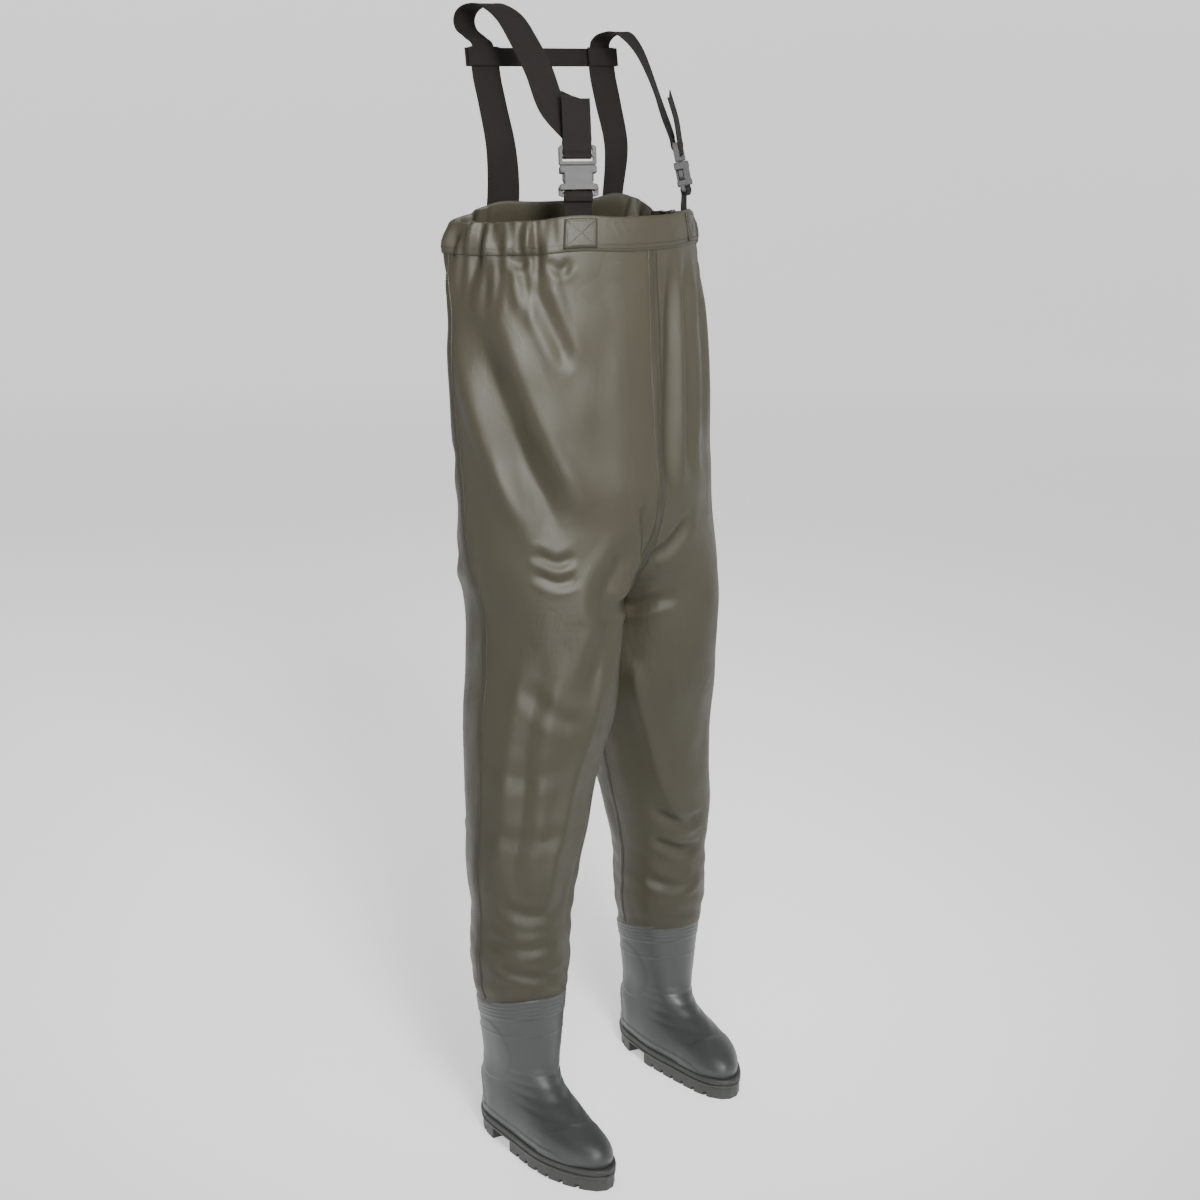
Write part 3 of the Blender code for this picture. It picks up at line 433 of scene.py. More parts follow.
@dataclass(frozen=True)
class Thread:
    """Twisted polyester sewing thread."""

    name: str = "sewing_thread"
    light: Colour = (0.012, 0.0105, 0.0065)
    dark: Colour = (0.004, 0.0035, 0.002)

    def build(self) -> bpy.types.Material:
        """Mixes the finish."""
        paint = Paint(self.name)
        twist = paint.waves(paint.place((1.0, 1.0, 1.4)), 1500.0, "DIAGONAL")
        return paint.finish(
            Base_Color=paint.blend(twist, self.dark, self.light),
            Roughness=paint.between(twist, 0.0, 1.0, 0.55, 0.7),
            Normal=paint.bump(twist, 0.0002, 0.6),
        )


class Finishes:
    """Every material, mixed once."""

    def __init__(self) -> None:
        """Mixes all finishes."""
        self.cloth = CoatedCloth().build()
        tape_light, tape_dark = (0.030, 0.0265, 0.0155), (0.021, 0.0185, 0.0105)
        self.tape = CoatedCloth("welded_tape", tape_light, tape_dark, 0.44, 0.0003).build()
        self.strap = Webbing("shoulder_webbing").build()
        elastic_light, elastic_dark = (0.0160, 0.0130, 0.0115), (0.0055, 0.0046, 0.0040)
        self.elastic = Webbing("back_elastic", elastic_light, elastic_dark, 260.0, 0.88).build()
        self.buckle = Moulding().build()
        self.boot = Rubber("boot_rubber", (0.042, 0.046, 0.044), (0.030, 0.0335, 0.032), 0.42).build()
        self.sole = Rubber("sole_rubber", (0.038, 0.040, 0.037), (0.025, 0.0265, 0.024), 0.58, 0.0004).build()
        self.felt = Felt().build()
        self.thread = Thread().build()


# --- the tailor's numbers ---------------------------------------------------------------------


@dataclass(frozen=True)
class Cut:
    """How the garment is cut and how its wearer stands: the same numbers as the frame's."""

    # height, half width, front depth, back depth, back corner bulge, y of the widest line
    torso: tuple = (
        (1.272, 0.190, 0.190, -0.036, 0.020, 0.048),
        (1.236, 0.200, 0.190, -0.018, 0.020, 0.044),
        (1.170, 0.208, 0.180, 0.006, 0.018, 0.030),
        (1.100, 0.215, 0.172, 0.030, 0.015, 0.018),
        (1.035, 0.215, 0.174, 0.045, 0.010, 0.015),
        (0.967, 0.212, 0.173, 0.060, 0.008, 0.010),
        (0.900, 0.212, 0.170, 0.075, 0.004, 0.002),
        (0.830, 0.211, 0.150, 0.092, 0.001, -0.004),
        (0.745, 0.198, 0.134, 0.104, 0.000, -0.022),
    )
    # height, centre out from the middle, half width, front depth, back depth, centre y
    leg: tuple = (
        (0.660, 0.1035, 0.0985, 0.126, 0.104, -0.026),
        (0.607, 0.110, 0.102, 0.117, 0.100, -0.029),
        (0.554, 0.121, 0.096, 0.102, 0.098, -0.032),
        (0.500, 0.132, 0.090, 0.093, 0.095, -0.035),
        (0.446, 0.143, 0.084, 0.088, 0.090, -0.038),
        (0.393, 0.156, 0.078, 0.082, 0.086, -0.040),
        (0.337, 0.163, 0.069, 0.074, 0.078, -0.042),
        (0.281, 0.168, 0.062, 0.069, 0.072, -0.044),
        (0.234, 0.1705, 0.0560, 0.0605, 0.0645, -0.0460),
        (0.212, 0.172, 0.0520, 0.0585, 0.0600, -0.0465),
        (0.188, 0.172, 0.0510, 0.0585, 0.0585, -0.0465),
    )
    centre_half_gap: float = 0.0015
    crotch_rise: float = 0.13
    rim_front: float = 0.010
    rim_front_strap: float = 0.005
    rim_back: float = 0.024
    rim_back_strap: float = 0.006
    rim_side: float = 0.002
    rim_shape_from: float = 1.08
    front_anchor_x: float = 0.103
    back_anchor_x: float = 0.1086
    stance_shift: float = -0.016
    stance_stagger: float = 0.0355
    toe_turn: tuple = (math.radians(-11.0), math.radians(-16.0))
    hem_height: float = 0.042

    @property
    def rim_z(self) -> float:
        """Height of the rim before it is shaped."""
        return self.torso[0][0]

    @property
    def crotch_z(self) -> float:
        """Height where the legs part."""
        return self.torso[-1][0]

    @property
    def cuff_z(self) -> float:
        """Height of the cuff inside the boot."""
        return self.leg[-1][0]

    def turn(self, side: Side) -> float:
        """How far that foot's toe is turned."""
        return self.toe_turn[0 if side is Side.RIGHT else 1]


CUT = Cut()


@dataclass(frozen=True)
class Fold:
    """A ridge or valley in the cloth, drawn through places on one half of the garment."""

    side: Side
    back: bool
    places: tuple  # share from side seam to centre, height
    depth: float  # inwards is negative
    width: float
    shoulder: float = 0.35  # how much the cloth rises beside a valley


class Form:
    """The garment's surface, plain and with its folds."""

    def __init__(self, cut: Cut, folds: Sequence[Fold]) -> None:
        """Places the folds on the plain surface."""
        self.cut = cut
        crotch = cut.torso[-1]
        half = crotch[1] / 2
        first = (crotch[0], half, half - cut.centre_half_gap, crotch[2], crotch[3], crotch[5])
        self.leg_rows = (first,) + cut.leg
        self.folds = folds
        self.lines = [self._line(fold) for fold in folds]

    def base(self, side: Side, back: bool, share: Array, z: Array) -> Array:
        """The plain surface.

        Args:
            side: which half of the garment.
            back: the back panel rather than the front one.
            share: from 0 at the side seam to 1 at the centre seam or inseam.
            z: height.

        Returns:
            Points, three numbers each.
        """
        cut, sign = self.cut, side.value
        share, z = np.broadcast_arrays(np.asarray(share, float), np.asarray(z, float))
        upper = z >= cut.crotch_z
        a, front, rear, bulge, cy = (read_rows(cut.torso, z, c) for c in range(1, 6))
        t = np.clip((z - cut.crotch_z) / cut.crotch_rise, 0.0, 1.0)
        end = np.arccos(-(1 - t))
        rx = (a - cut.centre_half_gap) / (1 - np.cos(end))
        leg_cx, leg_rx, leg_front, leg_rear, leg_cy = (read_rows(self.leg_rows, z, c) for c in range(1, 6))
        cx = np.where(upper, a - rx, leg_cx)
        rx = np.where(upper, rx, leg_rx)
        front, rear = np.where(upper, front, leg_front), np.where(upper, rear, leg_rear)
        bulge, cy = np.where(upper, bulge, 0.0), np.where(upper, cy, leg_cy)
        phi = share * np.where(upper, end, math.pi)
        low = np.clip((cut.crotch_z - z) / (cut.crotch_z - cut.cuff_z), 0.0, 1.0)
        turn = cut.turn(side) * low**1.5
        x = sign * rx * np.cos(phi)
        y = rear * np.sin(phi) + bulge * np.sin(2 * phi) if back else -front * np.sin(phi)
        px = sign * cx + x * np.cos(turn) - y * np.sin(turn) + cut.stance_shift * low
        py = cy + x * np.sin(turn) + y * np.cos(turn) + sign * cut.stance_stagger * low
        rise = np.clip((z - cut.rim_shape_from) / (cut.rim_z - cut.rim_shape_from), 0.0, 1.0)
        return np.stack([px, py, z + self._rim_lift(side, back, px) * rise**2], axis=-1)

    def _rim_lift(self, side: Side, back: bool, across: Array) -> Array:
        """How far the rim rises above its lowest line."""
        cut = self.cut
        if back:
            power = 3 if side is Side.RIGHT else 9
            middle, strap, anchor = cut.rim_back, cut.rim_back_strap, cut.back_anchor_x
        else:
            power = 3
            middle, strap, anchor = cut.rim_front, cut.rim_front_strap, cut.front_anchor_x
        out = np.minimum(np.abs(across) / cut.torso[0][1], 1.0)
        peak = np.exp(-(((np.abs(across) - anchor) / 0.035) ** 2))
        return cut.rim_side + (middle - cut.rim_side) * (1 - out**power) + strap * peak

    def normal(self, side: Side, back: bool, share: Array, z: Array) -> Array:
        """The outward direction of the plain surface."""
        step = 0.004
        share, z = np.broadcast_arrays(np.asarray(share, float), np.asarray(z, float))
        s0, s1 = np.maximum(share - step, 0.0), np.minimum(share + step, 1.0)
        z0 = np.maximum(z - step / 2, self.cut.cuff_z)
        z1 = np.minimum(z + step / 2, self.cut.rim_z)
        along = self.base(side, back, s1, z) - self.base(side, back, s0, z)
        up = self.base(side, back, share, z1) - self.base(side, back, share, z0)
        outward = 1.0 if back else -1.0
        return unit(np.cross(along, up)) * side.value * outward

    def _line(self, fold: Fold) -> Array:
        """The fold's line in space, with many points."""
        places = catmull(fold.places, 8)
        return self.base(fold.side, fold.back, places[:, 0], places[:, 1])

    def relief(self, points: Array) -> Array:
        """How far the cloth stands off the plain surface.

        Args:
            points: places on the plain surface.

        Returns:
            One height for each, outwards positive.
        """
        flat = points.reshape(-1, 3)
        total = np.zeros(len(flat))
        for fold, line in zip(self.folds, self.lines):
            reach = fold.width * 3.4
            near = ((flat > line.min(0) - reach) & (flat < line.max(0) + reach)).all(1)
            if near.any():
                total[near] += self._fold_height(fold, line, flat[near])
        return (total + self._flutes(flat)).reshape(points.shape[:-1])

    @staticmethod
    def _fold_height(fold: Fold, line: Array, points: Array) -> Array:
        """One fold's height at points near it."""
        start, step = line[:-1], line[1:] - line[:-1]
        length = np.maximum((step**2).sum(1), 1e-12)
        along = np.clip(((points[:, None] - start) * step).sum(2) / length, 0.0, 1.0)
        gap = np.linalg.norm(points[:, None] - start - along[..., None] * step, axis=2)
        nearest = gap.argmin(1)
        rows = np.arange(len(points))
        far = gap[rows, nearest] / fold.width
        share = (nearest + along[rows, nearest]) / len(start)
        taper = smooth(0.0, 0.22, share) * smooth(0.0, 0.30, 1.0 - share)
        sides = fold.shoulder * np.exp(-(((far - 1.7) / 0.75) ** 2)) if fold.depth < 0 else 0.0
        return fold.depth * taper * (np.exp(-(far**1.6)) - sides)

    def _flutes(self, points: Array) -> Array:
        """Soft ups and downs of hanging cloth: long on the body, short and level above the boots."""
        z = points[:, 2]
        hem = 1.0 - smooth(self.cut.rim_z - 0.085, self.cut.rim_z - 0.03, z)
        body = wander(points, (0.075, 0.075, 0.30), 3.1) * 0.0042 * hem
        fine = wander(points, (0.030, 0.030, 0.070), 11.7) * 0.0016 * hem
        legs = 1.0 - smooth(0.28, 0.42, z)
        rolls = wander(points, (0.050, 0.050, 0.021), 23.4) * 0.0026 * legs
        across = np.abs(points[:, 0])
        elastic = smooth(0.116, 0.140, across) * smooth(1.130, 1.235, z)
        puckers = wander(points, (0.0145, 0.0145, 0.10), 41.9) * 0.0105 * elastic
        return body + fine + rolls + puckers - 0.0012 * elastic

    def eased(self, side: Side, back: bool, share: Array, z: Array) -> Array:
        """The plain surface, eased where the legs part so that no hard line runs across it."""
        cut = self.cut
        share, z = np.broadcast_arrays(np.asarray(share, float), np.asarray(z, float))
        plain = self.base(side, back, share, z)
        parting = (cut.crotch_z, cut.crotch_z + cut.crotch_rise)
        near = sum(np.exp(-(((z - at) / 0.045) ** 2)) for at in parting)
        near = np.clip(near * 1.4, 0.0, 1.0)[..., None]
        if near.max() < 0.001:
            return plain
        steps = np.linspace(-0.030, 0.030, 7)
        weights = 1.0 - np.abs(steps) / 0.042
        mixed = sum(w * self.base(side, back, share, z + d) for w, d in zip(weights, steps)) / weights.sum()
        return plain + (mixed - plain) * near

    def skin(self, side: Side, back: bool, share: Array, z: Array) -> Array:
        """The surface with its folds, and swollen over the tops of the boots."""
        plain = self.eased(side, back, share, z)
        lift = self.relief(plain)
        top = BOOT.top_line(side, plain)
        over = smooth(-0.0070, -0.0045, plain[..., 2] - top) * (1 - smooth(0.245, 0.34, plain[..., 2]))
        tucked = 1 - smooth(0.004, 0.016, plain[..., 2] - top)
        lift = lift * (1 - tucked) + 0.0088 * over
        return plain + self.normal(side, back, share, z) * lift[..., None]

    def share_at(self, side: Side, back: bool, across: float, z: float) -> float:
        """The share whose point lies at a place across the body."""
        shares = np.linspace(0.0, 1.0, 801)
        x = np.abs(self.base(side, back, shares, np.full(801, z))[:, 0])
        return float(shares[np.abs(x - abs(across)).argmin()])

    def girth(self, side: Side, back: bool, z: Array) -> Array:
        """Length of a half ring at each height."""
        shares = np.linspace(0.0, 1.0, 33)
        points = self.base(side, back, shares[None, :], np.asarray(z, float)[:, None])
        return np.linalg.norm(np.diff(points, axis=1), axis=2).sum(1)


def right(back: bool, places: tuple, depth: float, width: float, shoulder: float = 0.35) -> Fold:
    """A fold on the right half."""
    return Fold(Side.RIGHT, back, places, depth, width, shoulder)


def left(back: bool, places: tuple, depth: float, width: float, shoulder: float = 0.35) -> Fold:
    """A fold on the left half."""
    return Fold(Side.LEFT, back, places, depth, width, shoulder)


FOLDS: tuple[Fold, ...] = (
    right(
        False, ((0.13, 1.16), (0.27, 1.045), (0.35, 0.975), (0.45, 0.91), (0.56, 0.845)), -0.0150, 0.024, 0.55
    ),
    right(False, ((0.43, 1.20), (0.50, 1.155), (0.56, 1.115), (0.60, 1.08)), -0.0055, 0.012, 0.5),
    right(False, ((0.90, 0.90), (0.93, 0.86), (0.96, 0.82), (0.98, 0.79)), -0.0060, 0.009, 0.5),
    right(
        False, ((0.88, 0.85), (0.76, 0.81), (0.62, 0.77), (0.49, 0.68), (0.46, 0.62)), -0.0085, 0.019, 0.45
    ),
    right(False, ((0.98, 0.79), (0.86, 0.765), (0.74, 0.755), (0.62, 0.76)), -0.0060, 0.010, 0.5),
    right(False, ((0.36, 0.842), (0.46, 0.826), (0.56, 0.836)), -0.0045, 0.008),
    right(False, ((0.33, 0.813), (0.43, 0.799), (0.53, 0.808)), -0.0040, 0.008),
    right(False, ((0.95, 0.71), (0.90, 0.66), (0.84, 0.60), (0.80, 0.54)), -0.0060, 0.012),
    right(False, ((0.32, 1.234), (0.38, 1.219), (0.44, 1.232)), -0.0040, 0.007),
    right(False, ((0.50, 1.224), (0.56, 1.209), (0.62, 1.222)), -0.0040, 0.007),
    right(False, ((0.15, 0.66), (0.30, 0.62), (0.45, 0.60)), -0.0028, 0.013),
    right(False, ((0.02, 0.55), (0.22, 0.53), (0.42, 0.545)), -0.0022, 0.014),
    right(False, ((0.05, 0.455), (0.28, 0.445), (0.52, 0.455)), -0.0018, 0.012),
    right(False, ((0.52, 0.74), (0.50, 0.62), (0.47, 0.50), (0.44, 0.38), (0.46, 0.28)), 0.0060, 0.013),
    right(False, ((0.24, 0.72), (0.22, 0.60), (0.24, 0.48), (0.22, 0.36)), -0.0045, 0.016, 0.5),
    right(False, ((0.78, 0.62), (0.74, 0.50), (0.70, 0.38), (0.68, 0.29)), -0.0045, 0.012, 0.5),
    right(False, ((0.14, 0.355), (0.35, 0.342), (0.56, 0.346)), -0.0032, 0.009),
    right(False, ((0.04, 0.305), (0.29, 0.293), (0.54, 0.299)), -0.0034, 0.008),
    right(False, ((0.12, 0.268), (0.37, 0.256), (0.70, 0.252)), -0.0040, 0.007),
    left(False, ((0.86, 1.24), (0.90, 1.14), (0.93, 1.03), (0.94, 0.94), (0.92, 0.86)), -0.0065, 0.013, 0.5),
    left(False, ((0.74, 1.23), (0.78, 1.12), (0.79, 1.00), (0.80, 0.90)), -0.0065, 0.013, 0.5),
    left(False, ((0.58, 1.20), (0.60, 1.08), (0.62, 0.95)), -0.0060, 0.014, 0.5),
    left(False, ((0.97, 0.81), (0.88, 0.83), (0.76, 0.87)), -0.0060, 0.011),
    left(False, ((0.94, 0.74), (0.82, 0.735), (0.68, 0.75)), -0.0050, 0.009),
    left(False, ((0.80, 0.66), (0.74, 0.56), (0.63, 0.43), (0.43, 0.34)), 0.0070, 0.013),
    left(False, ((0.74, 0.41), (0.54, 0.388), (0.38, 0.392)), -0.0050, 0.009),
    left(False, ((0.75, 0.362), (0.56, 0.342), (0.36, 0.344)), -0.0050, 0.008),
    left(False, ((0.80, 0.30), (0.60, 0.285), (0.40, 0.292)), -0.0040, 0.008),
    right(True, ((0.15, 0.98), (0.40, 0.93), (0.65, 0.90), (0.85, 0.89)), -0.0070, 0.016),
    right(True, ((0.20, 0.84), (0.45, 0.80), (0.70, 0.79), (0.90, 0.80)), -0.0080, 0.015, 0.5),
    right(True, ((0.95, 0.745), (0.75, 0.72), (0.50, 0.71), (0.30, 0.72)), -0.0070, 0.012),
    right(True, ((0.20, 0.47), (0.45, 0.445), (0.70, 0.455)), -0.0070, 0.012),
    right(True, ((0.25, 0.42), (0.50, 0.400), (0.75, 0.41)), -0.0055, 0.010),
    right(True, ((0.30, 0.32), (0.55, 0.305), (0.80, 0.312)), -0.0045, 0.008),
    right(True, ((0.75, 1.22), (0.72, 1.12), (0.74, 1.02)), -0.0060, 0.014),
    left(True, ((0.15, 0.97), (0.40, 0.92), (0.65, 0.90), (0.85, 0.90)), -0.0070, 0.016),
    left(True, ((0.20, 0.83), (0.45, 0.80), (0.70, 0.79), (0.90, 0.80)), -0.0080, 0.015, 0.5),
    left(True, ((0.95, 0.745), (0.75, 0.72), (0.50, 0.71), (0.30, 0.72)), -0.0070, 0.012),
    left(True, ((0.20, 0.46), (0.45, 0.440), (0.70, 0.45)), -0.0070, 0.012),
    left(True, ((0.25, 0.41), (0.50, 0.395), (0.75, 0.40)), -0.0055, 0.010),
    left(True, ((0.30, 0.31), (0.55, 0.298), (0.80, 0.305)), -0.0045, 0.008),
    left(True, ((0.75, 1.22), (0.72, 1.12), (0.74, 1.02)), -0.0060, 0.014),
)


@dataclass(frozen=True)
class Last:
    """The boots' shape and how each one stands. In a boot's own frame its toe points along -Y."""

    # height, toe reach, heel reach, half width, how much wider the toe half is
    rows: tuple = (
        (0.0303, 0.214, 0.070, 0.0490, 0.15),
        (0.043, 0.215, 0.072, 0.0500, 0.14),
        (0.055, 0.203, 0.071, 0.0490, 0.06),
        (0.066, 0.168, 0.069, 0.0475, -0.05),
        (0.077, 0.130, 0.067, 0.0460, -0.18),
        (0.088, 0.101, 0.065, 0.0450, -0.22),
        (0.102, 0.080, 0.064, 0.0445, -0.14),
        (0.120, 0.069, 0.0635, 0.0460, -0.05),
        (0.155, 0.065, 0.0645, 0.0515, 0.00),
        (0.2105, 0.0665, 0.0675, 0.0590, 0.00),
    )
    wall: float = 0.003
    band_height: float = 0.026
    slant: float = 0.18
    slant_from: float = 0.120
    curve: float = 0.005
    curve_from: float = 0.050
    sole: tuple = (0.222, 0.078, 0.0535, 0.16)  # toe reach, heel reach, half width, toe widening
    blunt: float = 0.86

    @property
    def top(self) -> float:
        """Height of the boot's top before it slants."""
        return self.rows[-1][0]

    def place(self, side: Side) -> tuple[Array, Array, Array]:
        """The boot's origin on the floor, and the directions across it and back along it."""
        cuff = CUT.leg[-1]
        turn, sign = CUT.turn(side), side.value
        origin = np.array([sign * cuff[1] + CUT.stance_shift, cuff[5] + sign * CUT.stance_stagger, 0.0])
        across = np.array([math.cos(turn), math.sin(turn), 0.0])
        return origin, across, np.array([-math.sin(turn), math.cos(turn), 0.0])

    def top_line(self, side: Side, points: Array) -> Array:
        """Height of the slanted boot top beside each point."""
        origin, _, back = self.place(side)
        return self.top - self.slant * ((points - origin) @ back)

    def ring(self, side: Side, angle: Array, toe: Array, heel: Array, half: Array, widen: Array) -> Array:
        """A boot-shaped ring in the boot's own frame.

        Args:
            side: which boot.
            angle: directions round the ring, 0 at the toe.
            toe: reach in front.
            heel: reach behind.
            half: half width.
            widen: how much wider the toe half is.

        Returns:
            Across and back for each angle.
        """
        forward = np.cos(angle)
        reach = np.where(forward > 0, toe, heel)
        y = -reach * np.abs(forward) ** self.blunt * np.sign(forward)
        x = half * np.sin(angle) * (1 + widen * forward)
        ahead = np.clip((-y - self.curve_from) / (self.sole[0] - self.curve_from), 0.0, 1.0)
        return np.stack([x + side.value * self.curve * np.sin(math.pi * ahead) ** 2, y], axis=-1)

    def in_world(self, side: Side, local: Array) -> Array:
        """Points from the boot's own frame to the tailor's."""
        origin, across, back = self.place(side)
        flat = local[..., :1] * across + local[..., 1:2] * back + origin
        flat[..., 2] = local[..., 2]
        return flat


BOOT = Last()


def shift_to_frame() -> Array:
    """How far the tailor's numbers lie from the frame's."""
    low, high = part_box("crossbar")
    shares = np.linspace(0, 1, 401)[None, :]
    heights = np.linspace(CUT.crotch_z, CUT.rim_z, 401)[:, None]
    front = Form(CUT, ()).base(Side.LEFT, False, shares, heights)[..., 1].min()
    return np.array([(low[0] + high[0]) / 2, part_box("panel_front_left")[0][1] - front, 0.0])


SHIFT = shift_to_frame()


# --- making meshes ----------------------------------------------------------------------------


def add_mesh(
    name: str, points: Array, faces: list, material: bpy.types.Material, uv: Array | None = None
) -> bpy.types.Object:
    """Makes an object from points in the tailor's frame.

    Args:
        name: the piece's name.
        points: its corners.
        faces: its faces, as corner numbers.
        material: its finish.
        uv: across and along in metres for each corner.

    Returns:
        The object, with faces pointing out and smooth shading.
    """
    mesh = bpy.data.meshes.new(name)
    mesh.from_pydata((points + SHIFT).tolist(), [], faces)
    mesh.materials.append(material)
    if uv is not None:
        layer = mesh.uv_layers.new(name="weave")
        corners = np.empty(len(mesh.loops), np.int32)
        mesh.loops.foreach_get("vertex_index", corners)
        layer.data.foreach_set("uv", uv[corners].astype(np.float32).ravel())
    mesh.polygons.foreach_set("use_smooth", np.ones(len(mesh.polygons), bool))
    mesh.update()
    point_out(mesh)
    piece = bpy.data.objects.new(name, mesh)
    bpy.context.scene.collection.objects.link(piece)
    return piece


def point_out(mesh: bpy.types.Mesh) -> None:
    """Turns every face of a closed mesh outwards."""
    work = bmesh.new()
    work.from_mesh(mesh)
    bmesh.ops.recalc_face_normals(work, faces=work.faces)
    if work.calc_volume(signed=True) < 0:
        bmesh.ops.reverse_faces(work, faces=work.faces)
    work.to_mesh(mesh)
    work.free()


def grid_faces(rows: int, columns: int, closed: bool, first: int = 0) -> list:
    """The quads of a grid of corners."""
    spans = columns if closed else columns - 1
    r, c = np.meshgrid(np.arange(rows - 1), np.arange(spans), indexing="ij")
    a = first + r * columns + c
    b = first + r * columns + (c + 1) % columns
    return np.stack([a, b, b + columns, a + columns], axis=-1).reshape(-1, 4).tolist()


def layered(name: str, outer: Array, inner: Array, material: bpy.types.Material) -> bpy.types.Object:
    """A closed layer of cloth between two grids of points."""
    rows, columns = outer.shape[:2]
    count = rows * columns
    faces = grid_faces(rows, columns, False) + [f[::-1] for f in grid_faces(rows, columns, False, count)]
    for r in (0, rows - 1):
        for c in range(columns - 1):
            a, b = r * columns + c, r * columns + c + 1
            faces.append([a, b, b + count, a + count])
    for c in (0, columns - 1):
        for r in range(rows - 1):
            a = r * columns + c
            faces.append([a, a + columns, a + columns + count, a + count])
    points = np.concatenate([outer.reshape(-1, 3), inner.reshape(-1, 3)])
    return add_mesh(name, points, faces, material)


def lofted(
    name: str, rings: Array, material: bpy.types.Material, uv: Array | None = None, looped: bool = False
) -> bpy.types.Object:
    """A closed body through rings of points, capped at both ends or joined end to end."""
    rows, columns = rings.shape[:2]
    if looped:
        rings = np.concatenate([rings, rings[:1]])
        faces = grid_faces(rows + 1, columns, True)
        faces = [[i % (rows * columns) for i in f] for f in faces]
        return add_mesh(name, rings[:-1].reshape(-1, 3), faces, material, uv)
    faces = grid_faces(rows, columns, True)
    faces += [list(range(columns))[::-1], list(range((rows - 1) * columns, rows * columns))]
    return add_mesh(name, rings.reshape(-1, 3), faces, material, uv)


@dataclass(frozen=True)
class Band:
    """Flat webbing: its width, thickness and plump woven edges."""

    width: float
    thick: float = 0.0015
    edge: float = 0.0012

    def build(
        self, name: str, points: Array, across: Array, material: bpy.types.Material, cut: float = 0.0
    ) -> bpy.types.Object:
        """Lays the webbing along a line.

        Args:
            name: the piece's name.
            points: the line through the middle of the webbing.
            across: the direction across it at each point.
            material: its finish.
            cut: how far one corner of its far end is cut back.

        Returns:
            The object.
        """
        along = unit(np.gradient(points, axis=0))
        sideways = unit(across - along * (along * across).sum(1)[:, None])
        out = np.cross(along, sideways)
        half, lift = self.width / 2, self.thick / 2
        top = [(-half, 0.0), (-half + 0.3 * self.edge, 0.8 * lift), (-half + self.edge, 1.25 * lift)]
        top += [(-half + 2.2 * self.edge, lift), (-half * 0.4, lift * 0.92), (half * 0.4, lift * 0.92)]
        top += [(half - 2.2 * self.edge, lift), (half - self.edge, 1.25 * lift)]
        top += [(half - 0.3 * self.edge, 0.8 * lift)]
        section = np.array(top + [(-u, -v) for u, v in top])
        travelled = np.concatenate([[0.0], np.cumsum(np.linalg.norm(np.diff(points, axis=0), axis=1))])
        slant = np.zeros(len(points))
        slant[-1] = cut
        rings = points[:, None] + sideways[:, None] * section[None, :, :1]
        rings = rings + out[:, None] * section[None, :, 1:]
        rings += along[:, None] * (slant[:, None] * section[None, :, 0] / half)[..., None]
        uv = np.stack(np.broadcast_arrays(section[None, :, 0], travelled[:, None]), axis=-1).reshape(-1, 2)
        return lofted(name, rings, material, uv)


